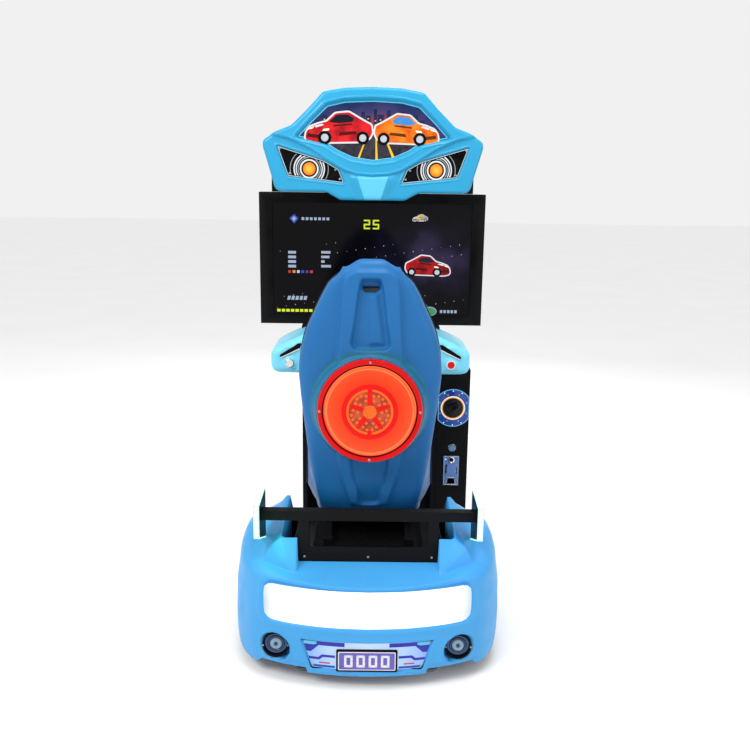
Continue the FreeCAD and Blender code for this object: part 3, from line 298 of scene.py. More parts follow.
def piece(name, verts, faces, mat, body="cabinet", smooth=True):
    mesh = bpy.data.meshes.new(name)
    mesh.from_pydata((np.array(verts, float) * 0.001).tolist(), [], [tuple(int(i) for i in f) for f in faces])
    mesh.validate()
    mesh.polygons.foreach_set("use_smooth", [smooth] * len(mesh.polygons))
    obj = bpy.data.objects.new(name, mesh)
    bpy.context.scene.collection.objects.link(obj)
    mesh.materials.append(MAT[mat] if isinstance(mat, str) else mat)
    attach(obj, body)
    return obj


def grid_faces(rows, cols, wrap=False):
    faces = []
    for i in range(rows - 1):
        for j in range(cols if wrap else cols - 1):
            k = (j + 1) % cols
            faces.append((i * cols + j, i * cols + k, (i + 1) * cols + k, (i + 1) * cols + j))
    return faces


BOX_FACES = ((0, 1, 3, 2), (4, 6, 7, 5), (0, 4, 5, 1), (1, 5, 7, 3), (3, 7, 6, 2), (2, 6, 4, 0))


def box_faces(base):
    return [tuple(base + k for k in f) for f in BOX_FACES]


def last_to_first(last, sides):
    """Faces that join the ring of vertices starting at last back to the first ring."""
    return [(last + k, last + (k + 1) % sides, (k + 1) % sides, k) for k in range(sides)]


def axes_along(way):
    """A rotation that takes z to the given direction."""
    z = Vector(way).normalized()
    x = z.orthogonal().normalized()
    return Matrix((x, z.cross(x), z)).transposed()


def turn_toward(obj, way, index):
    """Flip the whole mesh if the face at index looks away from the given way."""
    if obj.data.polygons[index].normal.dot(Vector(way)) < 0:
        obj.data.flip_normals()
    return obj


def close_normals(obj):
    work = bmesh.new()
    work.from_mesh(obj.data)
    bmesh.ops.recalc_face_normals(work, faces=work.faces)
    work.to_mesh(obj.data)
    work.free()
    return obj


def thicken(obj, thickness):
    mod = obj.modifiers.new("thickness", "SOLIDIFY")
    mod.thickness = thickness
    mod.offset = -1
    return obj


def soften(obj, width, segments=2, angle=35):
    mod = obj.modifiers.new("edges", "BEVEL")
    mod.width = width
    mod.segments = segments
    mod.limit_method = "ANGLE"
    mod.angle_limit = math.radians(angle)
    return obj


def prism(name, outline, y0, y1, mat, body="cabinet", edge=0.0):
    """A flat shape of the given outline between two depths."""
    return prisms(name, [outline], y0, y1, mat, body, edge)


def prisms(name, outlines, y0, y1, mat, body="cabinet", edge=0.0):
    """Several flat shapes in one piece."""
    verts, faces = [], []
    for outline in outlines:
        n, base = len(outline), len(verts)
        for y in (y0, y1):
            verts += [(x, y, z) for x, z in outline]
        faces += [tuple(range(base, base + n)), tuple(range(base + 2 * n - 1, base + n - 1, -1))]
        faces += [(base + i, base + i + n, base + (i + 1) % n + n, base + (i + 1) % n) for i in range(n)]
    obj = close_normals(piece(name, verts, faces, mat, body, smooth=False))
    return soften(obj, edge) if edge else obj


def lathe(name, profile, centre, mat, body="cabinet", toward=(0, -1, 0), segments=72, holed=False):
    """A turned shape: profile is (radius, height toward the given direction)."""
    turn = axes_along(toward)
    verts = []
    for r, h in profile:
        for k in range(segments):
            a = TAU * k / segments
            verts.append(turn @ Vector((r * math.cos(a), r * math.sin(a), h)) + Vector(centre))
    faces = grid_faces(len(profile), segments, True)
    last = (len(profile) - 1) * segments
    if holed:
        faces += last_to_first(last, segments)
    else:
        faces += [tuple(range(segments)), tuple(range(last, last + segments))[::-1]]
    obj = close_normals(piece(name, verts, faces, mat, body))
    for poly in obj.data.polygons:
        poly.use_smooth = len(poly.vertices) == 4
    mod = obj.modifiers.new("edges", "EDGE_SPLIT")
    mod.split_angle = math.radians(38)
    return obj


def tube(name, points, radius, mat, body="cabinet", samples=60, closed=False):
    """A round bar along a line, through the points as given if closed."""
    sides = 10
    path = np.array(points, float) if closed else catmull(points, samples)
    n = len(path)
    verts = []
    for i, p in enumerate(path):
        ahead = path[(i + 1) % n] - path[i - 1] if closed else path[min(i + 1, n - 1)] - path[max(i - 1, 0)]
        t = Vector(ahead).normalized()
        side = t.cross(Vector((0, 0, 1) if abs(t.z) < 0.9 else (0, 1, 0))).normalized()
        up = side.cross(t)
        for k in range(sides):
            a = TAU * k / sides
            verts.append(Vector(p) + radius * (math.cos(a) * side + math.sin(a) * up))
    faces = grid_faces(n, sides, True)
    last = (n - 1) * sides
    if closed:
        faces += last_to_first(last, sides)
    else:
        faces += [tuple(range(sides)), tuple(range(last, n * sides))[::-1]]
    return close_normals(piece(name, verts, faces, mat, body))


def screws(name, places, radius, body="cabinet", toward=(0, -1, 0)):
    """Pan-head screws with a socket, all in one piece."""
    turn = axes_along(toward)
    profile = [(1, -0.2), (1, 0.25), (0.9, 0.42), (0.66, 0.52), (0.4, 0.55), (0.36, 0.2), (0.01, 0.2)]
    verts, faces, n = [], [], 18
    for centre in places:
        base = len(verts)
        for i, (r, h) in enumerate(profile):
            for k in range(n):
                a = TAU * k / n
                hexed = 1 if i < 4 else 1 / max(abs(math.cos(a % (TAU / 6) - TAU / 12)), 0.5) * 0.87
                spot = Vector((r * hexed * math.cos(a), r * hexed * math.sin(a), h)) * radius
                verts.append(turn @ spot + Vector(centre))
        faces += [tuple(i + base for i in f) for f in grid_faces(len(profile), n, True)]
        faces.append(tuple(range(base, base + n)))
    return close_normals(piece(name, verts, faces, "screw", body))


def polar(outline, centre, angles):
    """Distance from the centre to a closed outline in each direction."""
    pts = []
    for a, b in zip(outline, list(outline[1:]) + list(outline[:1])):
        for t in np.linspace(0, 1, 30, endpoint=False):
            pts.append((a[0] + (b[0] - a[0]) * t - centre[0], a[1] + (b[1] - a[1]) * t - centre[1]))
    pts = np.array(pts)
    at = np.arctan2(pts[:, 1], pts[:, 0])
    order = np.argsort(at)
    return np.interp(angles, at[order], np.hypot(*pts.T)[order], period=TAU)


def moulding(name, outer, centre, relief, back, mat, inner=None, roll=16, rows=46, skin=4, turns=720):
    """A moulded shell: a face at the depth relief gives, rolled over at its outline and run back."""
    corners = [math.atan2(z - centre[1], x - centre[0]) for x, z in list(outer) + list(inner or [])]
    angles = np.unique(np.concatenate([np.linspace(-math.pi, math.pi, turns, endpoint=False), corners]).round(5))
    r_out = polar(outer, centre, angles)
    r_in = polar(inner, centre, angles) if inner else np.full(len(angles), 0.5)
    first = [0, 0.7, 2, 4, 6, 8, 10, 12, 14, 17, 20, 24] if inner else [0, 3, 8]
    last = [20, 15, 11, 8, 5.5, 3.5, 2, 0.8, 0]
    radii = [r_in + t for t in first]
    radii += [r_in + first[-1] + (r_out - last[0] - r_in - first[-1]) * t for t in np.linspace(0, 1, rows)[1:-1]]
    radii += [r_out - t for t in last]
    grid = []
    for r in radii:
        x, z = centre[0] + r * np.cos(angles), centre[1] + r * np.sin(angles)
        near = np.clip(-distance(outer, x, z), 0, roll)
        y = relief(x, z) + roll - np.sqrt(np.maximum(roll ** 2 - (roll - near) ** 2, 0))
        grid.append(np.column_stack([x, y, z]))
    rim = grid[-1]
    for t in (0.03, 0.1, 0.3, 0.6, 0.9, 1):
        grid.append(np.column_stack([rim[:, 0], rim[:, 1] + (back - rim[:, 1]) * t, rim[:, 2]]))
    obj = piece(name, np.vstack(grid), grid_faces(len(grid), len(angles), True), mat)
    turn_toward(obj, (0, -1, 0), 20 * len(angles))
    calm = obj.modifiers.new("calm", "SMOOTH")
    calm.factor = 0.5
    calm.iterations = 6
    return thicken(obj, skin * 0.001)


# ---------------------------------------------------------------- camera, light, floor

def lamp(name, place, target, size, power):
    light = bpy.data.lights.new(name, "AREA")
    light.energy = power
    light.size = size
    obj = bpy.data.objects.new(name, light)
    bpy.context.scene.collection.objects.link(obj)
    obj.location = place
    obj.rotation_euler = (Vector(target) - Vector(place)).to_track_quat("-Z", "Y").to_euler()


def build_stage():
    scene = bpy.context.scene
    cam = bpy.data.objects.new("camera", bpy.data.cameras.new("camera"))
    scene.collection.objects.link(cam)
    cam.data.sensor_width = 36
    cam.data.lens = 40.56
    pitch, roll, yaw = math.radians(13), math.radians(0.77), math.radians(0.33)
    right = Vector((1, 0, 0))
    ahead = Vector((0, math.cos(pitch), -math.sin(pitch)))
    down = Vector((0, -math.sin(pitch), -math.cos(pitch)))
    x = math.cos(roll) * right - math.sin(roll) * down
    y = -(math.sin(roll) * right + math.cos(roll) * down)
    turn = Matrix.Rotation(-yaw, 3, "Z") @ Matrix((x, y, -ahead)).transposed()
    cam.matrix_world = Matrix.Translation((0, -3.108, 1.569)) @ turn.to_4x4()
    scene.camera = cam
    scene.view_settings.view_transform = "Standard"
    world = bpy.data.worlds.new("studio")
    world.use_nodes = True
    world.node_tree.nodes["Background"].inputs["Color"].default_value = (1, 1, 1, 1)
    world.node_tree.nodes["Background"].inputs["Strength"].default_value = 0.88
    scene.world = world
    lamp("key", (-2.2, -2.6, 3.4), (0, -0.2, 0.9), 1.5, 85)
    lamp("fill", (2.6, -2.4, 1.6), (0, -0.2, 0.8), 1.6, 14)
    lamp("top", (0.3, -0.9, 3.8), (0, -0.1, 0.6), 1.6, 50)
    lamp("back", (0.6, 3.4, 2.6), (0, 0.2, 1.0), 2.4, 40)
    for x, tint in ((-0.338, (0.1, 1.0, 0.55)), (0.338, (0.2, 0.3, 1.0))):
        spill = bpy.data.lights.new("strip_spill", "POINT")
        spill.energy, spill.color, spill.shadow_soft_size = 0.22, tint, 0.03
        obj = bpy.data.objects.new("strip_spill", spill)
        bpy.context.scene.collection.objects.link(obj)
        obj.location = (x * 0.93, -0.655, 0.47)
    mesh = bpy.data.meshes.new("floor")
    mesh.from_pydata([(-30, -30, 0), (30, -30, 0), (30, 30, 0), (-30, 30, 0)], [], [(0, 1, 2, 3)])
    floor = bpy.data.objects.new("floor", mesh)
    scene.collection.objects.link(floor)
    mesh.materials.append(finish_like("pale_floor", (248, 248, 248), 0.85, 0.01, 1.5, 40, 0.02, spec=0.1))


# ---------------------------------------------------------------- rear body

PLAN = ((0, -740), (100, -734), (190, -718), (280, -691), (358, -651), (402, -601), (431, -540), (444, -460),
        (446, -400), (446, -310), (445, -231))
BAND = rounded(mirrored(((0, 344), (336, 344), (334, 212), (0, 212))), 34)
PANEL = [(209, 163), (175, 67), (-175, 67), (-209, 163)]
# the haunch's top line by line: y, then x and z of the fin, its foot, the shoulder and the rim
CREST = ((-601, 281, 455, 313, 424, 336, 378, 376, 370), (-540, 284, 474, 306, 440, 336, 398, 396, 382),
         (-460, 282, 506, 308, 476, 350, 432, 404, 396), (-400, 278, 521, 304, 490, 350, 456, 408, 402),
         (-310, 284, 474, 310, 462, 356, 434, 410, 398), (-231, 286, 410, 310, 406, 358, 396, 408, 372))
WALL = ((-601, 455), (-592, 452), (-545, 452), (-400, 448), (-310, 430), (-231, 400))
FIN = ((-601, 262), (-590, 272), (-540, 270), (-400, 262), (-330, 268), (-231, 270))
SIDE = ((45, 9), (60, 5), (100, 1), (170, 0), (270, 4), (340, 14), (385, 34))


def across(table, x):
    return np.interp(x, [p[0] for p in table], [p[1] for p in table])


def shelf_height(x, y):
    ax, back = np.abs(x), y + 601
    facets = np.minimum(455 + 1.74 * back, np.minimum(455 - (ax - 281) + 2.54 * back,
                                                      423 - 2.14 * (ax - 313) + 4.12 * back))
    facets = np.where(ax > 226, np.minimum(facets, 455), -1e3)
    return np.maximum(345 + (y + 720) * 0.25, facets)


def haunch_height(x, y):
    ax = np.abs(x)
    cols = [np.interp(y, [row[0] for row in CREST], [row[k] for row in CREST]) for k in range(1, 9)]
    wall, fin = across(WALL, y), across(FIN, y)
    floor = wall - 130 * ease(-592, -586, y) * (1 - ease(-345, -320, y))
    knots = [(228, wall), (236, wall), (239, floor), (fin, floor), (fin + 4, cols[1])]
    knots += [(cols[k], cols[k + 1]) for k in (0, 2, 4, 6)] + [(450, cols[7] - 40)]
    z = np.where(ax < 228, wall, 0.0)
    for (xa, za), (xb, zb) in zip(knots, knots[1:]):
        part = (ax - xa) / np.maximum(xb - xa, 0.1)
        z = np.where((ax >= xa) & (ax <= xb) & (ax >= 228), za + (zb - za) * part, z)
    return z


def body_height(x, y):
    return np.where((y < -601) | (np.abs(x) < 227), shelf_height(x, y), haunch_height(x, y))


def skin_y(x, z):
    """The bumper's outer face behind a point."""
    half = catmull(PLAN[:7], 80)
    return np.interp(np.abs(x), half[:, 0], half[:, 1]) + across(SIDE, z)


def build_rear_body():
    half = catmull(PLAN, 230)
    plan = np.vstack([half[::-1] * [-1, 1], half[1:]])
    px, py = plan.T
    reach = np.where(py > -601, 228, np.interp(np.abs(px), (0, 290, 402), (0, 226, 228)))
    way = np.column_stack([np.sign(px) * reach, np.maximum(py, -601)]) - plan
    run = np.linalg.norm(way, axis=1)
    way = way / run[:, None]
    roll = 12 + 30 * ease(250, 400, np.abs(px))
    lap = 18 + 44 * ease(250, 400, np.abs(px))
    shoulder = body_height(*(plan + way * lap[:, None]).T)
    under = 17 * ease(190, 196, np.abs(px)) * (1 - ease(344, 366, np.abs(px))) * (py < -600)
    grid = []

    def row(gap, z):
        z = z + under * (1 - ease(60, 84, z))
        edge = distance(BAND, px, z)
        sink = 8 * inside(edge, 4) - 3 * hump(edge, 13, 11)
        sink += 13 * inside(distance(PANEL, px, z), 3) - 1.5 * hump(distance(PANEL, px, z), 7, 6)
        ring = np.hypot(np.abs(px) - 291, z - 122)
        sink += 40 * (1 - ease(43, 47, ring)) - 4 * hump(ring, 52, 7)
        grid.append(np.column_stack([plan + way * (gap + np.where(py < -560, sink, 0))[:, None], z]))

    for z in (45, 47, 52, 58, 64, 67, 70, 74, 80, 86, 92, 98, 104, 110, 116, 122, 128, 134, 140, 146, 152, 157, 160,
              163, 166, 170, 176, 184, 192, 199, 203, 206, 209, 212, 216, 222, 230, 240, 250, 260, 270, 280, 290, 300):
        row(across(SIDE, z), np.full(len(plan), float(z)))
    top = np.minimum(shoulder - roll, 338)
    for t in np.linspace(0.1, 1, 10):
        row(across(SIDE, 300 + (top - 300) * t), 300 + (top - 300) * t)
    start = across(SIDE, top)
    for a in np.linspace(0, math.pi / 2, 12)[1:]:
        gap = start + (lap - start) * (1 - math.cos(a))
        grid.append(np.column_stack([plan + way * gap[:, None], top + (shoulder - top) * math.sin(a)]))
    for t in np.linspace(0, 1, 84)[1:]:
        spot = plan + way * (lap + (run - lap) * t)[:, None]
        grid.append(np.column_stack([spot, body_height(*spot.T)]))
    edge = grid[-1]
    low = np.where(py > -601, 45, 200)
    for t in (0.02, 0.1, 0.25, 0.45, 0.7, 1):
        grid.append(np.column_stack([edge[:, :2], edge[:, 2] + (low - edge[:, 2]) * t]))
    cols = len(plan)
    faces = grid_faces(len(grid), cols)
    for end in (0, cols - 1):
        faces.append(tuple(r * cols + end for r in range(len(grid))))
    obj = piece("rear_body", np.vstack(grid), faces, "body")
    close_normals(obj)
    turn_toward(obj, (0, -1, 0), 3 * (cols - 1) + cols // 2)
    obj.data.materials.append(MAT["plastic"])
    for poly in obj.data.polygons:
        x, y, _ = poly.center * 1000
        poly.material_index = int(y > -594 and abs(x) < across(FIN, y) + 1.5)
    for poly in obj.data.polygons[-2:]:
        poly.use_smooth = False
    thicken(obj, 0.004)
    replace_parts(obj, "rear_body_shell")


def on_bumper(name, lines, gap, deep, mat):
    """A thin print on the bumper's curve between pairs of a lower and an upper line, each a table of x and z."""
    verts, faces = [], []
    for lo, hi in lines:
        left, right = max(lo[0][0], hi[0][0]), min(lo[-1][0], hi[-1][0])
        knots = {p[0] for p in list(lo) + list(hi) if left <= p[0] <= right}
        xs = np.array(sorted(knots | set(np.linspace(left, right, max(2, int((right - left) / 12))).round(3))))
        z0, z1 = across(lo, xs), across(hi, xs)
        base = len(verts)
        n = len(xs)
        for z, back in ((z0, 0), (z1, 0), (z1, deep), (z0, deep)):
            verts += [tuple(v) for v in np.column_stack([xs, skin_y(xs, 100) + gap + back, z])]
        for a, b in ((0, 1), (1, 2), (2, 3), (3, 0)):
            faces += [(base + a * n + i, base + b * n + i, base + b * n + i + 1, base + a * n + i + 1)
                      for i in range(n - 1)]
        for i in (0, n - 1):
            faces.append(tuple(base + k * n + i for k in range(4)))
    return close_normals(piece(name, verts, faces, mat, smooth=False))


SEGMENTS = {"0": "abcdef", "1": "bc", "2": "abged", "3": "abgcd", "5": "afgcd"}


def numerals(text, x, z, wide, tall, bar):
    """Outlines of plain block digits, left edge x and foot z."""
    out = []
    h = tall / 2
    shapes = {"a": (0, tall - bar, wide, tall), "g": (0, h - bar / 2, wide, h + bar / 2), "d": (0, 0, wide, bar),
              "f": (0, h, bar, tall), "e": (0, 0, bar, h),
              "b": (wide - bar, h, wide, tall), "c": (wide - bar, 0, wide, h)}
    for i, digit in enumerate(text):
        left = x + i * (wide * 1.42)
        for key in SEGMENTS[digit]:
            x0, z0, x1, z1 = shapes[key]
            out.append(rounded(rect(left + x0, z + z0, x1 - x0, z1 - z0), bar * 0.3, 3))
    return out


def build_rear_trim():
    ends = ((-329, 250), (-326, 228), (-314, 216), (-298, 212))
    low = list(ends) + flip_x(ends)
    high = [(x, 546 - z) for x, z in low]
    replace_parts(on_bumper("light_band", [(low, high)], 3.5, 4, "band"), "rear_light_lens")
    violet = glow("violet_print", (70, 66, 190), 0.55, tone=20, second=(52, 60, 170))
    field = spread_glow("panel_field", (0, -0.73, 0.1), (1, 0, 0.4), 0.22,
                        ((0, (206, 226, 250)), (0.5, (180, 208, 246)), (1, (120, 160, 232))), 0.8, 0.25, 0.06, 9)
    panel = on_bumper("panel_face", [([(-208, 161), (-175, 68), (175, 68), (208, 161)], [(-208, 162), (208, 162)])],
                      9.4, 3.6, field)
    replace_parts(panel, "number_panel")
    # painted shadow: a thin black plastic bar laid round the number panel's outline stands in for the shadow line its
    # recess throws at the top and sides
    edge = [(x, float(skin_y(x, 100)) + 6, z) for x, z in rounded(PANEL, 9)]
    tube("panel_shadow_line", edge, 2.0, "plastic", closed=True)
    prints = (("bands", 8.2, 1.2, violet, [(-204, 140), (-198, 122), (-176, 122), (-152, 146), (-70, 146)],
               [(-204, 158), (-198, 159), (-176, 159), (-152, 159), (-70, 159)]),
              ("stripes", 8.4, 1.0, violet, [(-184, 96), (-150, 96), (-138, 106), (-100, 106)],
               [(-184, 104), (-153, 104), (-142, 114), (-100, 114)]),
              ("marks", 8.2, 1.2, glow("red_print", (214, 60, 84), 0.6), [(-150, 84), (-116, 84)],
               [(-150, 88), (-116, 88)]),
              ("foot", 8.2, 1.2, glow("blue_print", (44, 92, 196), 0.6), [(-168, 71), (-100, 71)],
               [(-171, 78), (-100, 78)]),
              ("tabs", 5.5, 3.5, "pale", [(-200, 148), (-168, 148), (-158, 152)],
               [(-202, 159), (-168, 159), (-158, 159)]))
    for word, gap, deep, ink, lo, hi in prints:
        on_bumper("panel_" + word, [(lo, hi), (flip_x(lo), flip_x(hi))], gap, deep, ink)
    spots = [(s * x, float(skin_y(x, 100)) + 7.5, z) for s in (-1, 1) for x, z in ((196, 155), (170, 74))]
    screws("panel_screws", spots, 4)
    plate = lambda x, low, high, radius: rounded([(x, high), (x, low), (-x, low), (-x, high)], radius)
    obj = prism("plate_frame", plate(96, 66, 141, 5), -737, -730, "black_print", edge=0.0012)
    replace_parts(obj, "number_plate")
    prism("plate_edge", plate(90, 72, 135, 4), -737.6, -736, "white_print")
    prism("plate_field", plate(87, 75, 132, 3), -738.2, -737,
          glow("plate_field_print", (132, 112, 206), 0.5, second=(112, 104, 200)))
    prisms("plate_digits", numerals("0000", -71, 83, 27, 41, 7.5), -739.4, -737.8, "white_print",
           edge=0.0004)
    ring_dark = finish_like("tail_ring_dark", (22, 34, 58), 0.3, 0.2, 30, 400, 0.05, coat=0.5)
    ring_blue = glow("tail_ring_blue", (84, 128, 190), 0.4, tone=60)
    ring_pale = glow("tail_ring_pale", (150, 184, 210), 0.5, tone=60)
    for side, word in ((-1, "left"), (1, "right")):
        x = side * 291
        spot = (x, -650, 122)
        bezel = lathe("tail_bezel_" + word, [(34, 0), (44, 0), (44.5, 24), (43.5, 28), (41, 30), (38, 29), (36, 24),
                                             (35, 12)], spot, "plastic", holed=True)
        lens = lathe("tail_lens_" + word, [(35, 1), (35, 16), (33, 18.5), (30, 19.5), (29, 17), (19, 17), (18, 19)],
                     spot, ring_blue)
        lathe("tail_mid_" + word, [(29, 15), (28.5, 20), (27, 21.5), (21, 21.5), (19.5, 20), (19, 15)], spot, ring_dark,
              holed=True)
        lathe("tail_core_" + word, [(18.5, 15), (18, 21), (16.5, 22.5), (9, 23), (8, 20)], spot, ring_pale)
        prism("tail_nut_" + word, circle(x, 122, 6.5, 6), -674.5, -669, ring_dark, edge=0.001)
        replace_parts(bezel, "tail_lamp_bezels")
        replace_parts(lens, "tail_lamp_lenses")
        screws("tail_screws_" + word, [(x - 40, -680.2, 122), (x + 40, -680.2, 122)], 3.2)


def build_spoiler():
    screws("spoiler_screws", [(x, -600, 391) for x in (-204, 0, 204)], 4.2)
    verts, faces = [], []
    for side in (-1, 1):
        for a, b, count in (((-664, 484), (-664, 582), 9), ((-660, 586), (-512, 589), 12)):
            for t in np.linspace(0.04, 0.96, count):
                y, z = a[0] + (b[0] - a[0]) * t, a[1] + (b[1] - a[1]) * t
                base = len(verts)
                x = side * 347
                verts += [(x + sx, y + sy, z + sz) for sx in (-4, 4) for sy in (-2.6, 2.6) for sz in (-2.6, 2.6)]
                faces += box_faces(base)
    leds = piece("endplate_leds", verts, faces, glow("led_white", (236, 255, 248), 3.0, 0.04, 40),
                 smooth=False)
    soften(close_normals(leds), 0.0006)
    for side, word in ((-1, "endplate_screws"), (1, "endplate_screws_right")):
        screws(word, [(side * 356.2, -585, z) for z in (520, 538)], 5, toward=(side, 0, 0))


# ---------------------------------------------------------------- seat

# the bucket by distance along its back line: half width, half width at the lip, lip height
SEAT_ROWS = ((0, 212, 220, 36), (110, 206, 222, 74), (250, 188, 221, 116), (345, 174, 219, 132), (435, 174, 217, 138),
             (525, 188, 216, 138), (600, 202, 214, 132), (680, 210, 214, 128), (822, 226, 227, 120),
             (943, 235, 235, 112), (1050, 214, 214, 96), (1143, 172, 172, 80), (1200, 146, 146, 68),
             (1255, 116, 116, 54), (1300, 80, 80, 40))
RIDGE = rounded(mirrored(((0, 1297), (56, 1297), (82, 1276), (92, 1222), (97, 1125), (103, 1038), (106, 950),
                          (106, 740), (101, 652), (91, 588), (62, 496), (54, 468), (0, 466))), 16)
HOLLOW = rounded(mirrored(((0, 1272), (30, 1272), (39, 1225), (49, 1140), (62, 1062), (50, 1046), (0, 1043))), 10)
SLOT = rounded(mirrored(((0, 1264), (27, 1264), (28, 1240), (18, 1230), (0, 1230))), 7)
LOW_HOLLOW = rounded(mirrored(((0, 740), (66, 740), (59, 640), (51, 590), (37, 556), (36, 506), (26, 494),
                               (0, 492))), 9)
TONGUE = ((-6, 1215), (18, 1222), (34, 1120), (38, 1062), (-2, 1062))
BOSS_Z = 852


def spine(s):
    """Point and inward normal of the seat's back line, s mm from the front edge of the pan."""
    bend, pan, sweep = 190, 250, math.radians(83)
    if s <= pan:
        return 20 - s, 392, 0.0, 1.0
    if s <= pan + bend * sweep:
        a = (s - pan) / bend
        return -230 - bend * math.sin(a), 392 + bend * (1 - math.cos(a)), math.sin(a), math.cos(a)
    rest = s - pan - bend * sweep
    ny, nz = math.sin(sweep), math.cos(sweep)
    return -230 - bend * ny - nz * rest, 392 + bend * (1 - nz) + ny * rest, ny, nz


def seat_half(w, lip, h):
    """Right half of the bucket's section, from the middle of the back to the lip."""
    r = min(40.0, 0.34 * w, 0.5 * h)
    flat = np.column_stack([np.linspace(0, w - r, 40)[:-1], np.zeros(39)])
    t = np.linspace(0, 1, 14)[:, None]
    corner = (1 - t) ** 2 * [w - r, 0] + 2 * t * (1 - t) * [w, 0] + t ** 2 * [w, r]
    top = catmull(((w, r), (w + 0.42 * (lip - w), 0.5 * h + 0.2 * r), (lip, h)), 16)[1:]
    line = np.vstack([flat, corner, top])
    line[:, 1] += 12 * np.clip(line[:, 0] / w, 0, 1) ** 2.4 * (1 - line[:, 1] / h)
    return line


def build_seat_shell():
    rows = np.array(SEAT_ROWS, float)
    smooth = lambda s, k: np.mean([np.interp(np.clip(s + d, 0, 1300), rows[:, 0], rows[:, k])
                                   for d in (-36, -18, 0, 18, 36)])
    stations = [(s, 0.0) for s in np.arange(26, 1272, 4.2)]
    wraps = [math.radians(a) for a in (15, 30, 45, 60, 75, 88)]
    front = [(26 - 26 * math.sin(a), 1 - math.cos(a)) for a in wraps][::-1]
    tail = [(1272 + 28 * math.sin(a), 1 - math.cos(a)) for a in wraps]
    grid, boss_rim_shade = [], []
    for s, cap in front + stations + tail:
        w, lip, h = (smooth(s, k) for k in (1, 2, 3))
        half = seat_half(w, lip, h)
        n = half[:, 1]
        lift = cap * min(h * 0.9, 30)
        n = lift + n * (h - lift) / h
        line = np.vstack([np.column_stack([-half[::-1, 0], n[::-1]]), np.column_stack([half[1:, 0], n[1:]])])
        y, z, ny, nz = spine(s)
        x = line[:, 0]
        py, pz = y + ny * line[:, 1], z + nz * line[:, 1]
        if s > 1150:
            fall = 18 * ease(1215, 1300, s) * ease(30, 84, np.abs(x))
            fall += 9 * ease(1170, 1290, s) * ease(0, 44, line[:, 1]) * ease(20, 84, np.abs(x))
            py, pz = py + fall * 0.12, pz - fall
        if s > 430:
            rise = 16 * inside(distance(RIDGE, x, pz), 6) - 20 * inside(distance(HOLLOW, x, pz), 6)
            deep = distance(LOW_HOLLOW, x, pz)
            rise -= (13 + 11 * (1 - ease(505, 590, pz))) * inside(deep, 5 + 3 * ease(540, 600, pz))
            rise -= 20 * inside(distance(SLOT, x, pz), 3)
            rise += 7 * inside(distance(TONGUE, x, pz), 9)
            py = py - rise * ease(434, 468, s)
            ring = np.hypot(x, pz - BOSS_Z)
            boss = np.where(ring < 166, -501, -505) + np.maximum(ring - 174, 0) * 3.4
            boss = np.where(ring < 150, -498, boss)
            blend = 9
            mixed = np.clip(0.5 + 0.5 * (py - boss) / blend, 0, 1)
            py = np.where(ring < 235, py + (boss - py) * mixed - blend * mixed * (1 - mixed), py)
        grid.append(np.column_stack([x, py, pz]))
        # painted shade: faces 165 to 199 mm from the lamp centre are marked for the darker teal boss colour, standing
        # in for the boss rim's shade
        ring = np.hypot(x, pz - BOSS_Z)
        boss_rim_shade.append((ring > 165) & (ring < 199) & (s > 520) & (np.abs(x) < 205))
    cols = len(grid[0])
    obj = piece("seat_bucket", np.vstack(grid), grid_faces(len(grid), cols), "seat", body="seat")
    turn_toward(obj, (0, -1, 0), (len(grid) // 2) * (cols - 1) + cols // 2)
    # the marked ring takes the darker teal boss colour, a painted shade
    obj.data.materials.append(MAT["boss"])
    marks = np.array(boss_rim_shade)
    marks = (marks[:-1, :-1] & marks[1:, 1:]).ravel()
    obj.data.polygons.foreach_set("material_index", [int(m) for m in marks])
    thicken(obj, 0.007)
    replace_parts(obj, "seat_shell")
    for name, end in (("seat_piping", 0), ("seat_piping_right", -1)):
        tube(name, [g[end] for g in grid[8:-4:6]], 3.2, "rubber", "seat", samples=140)


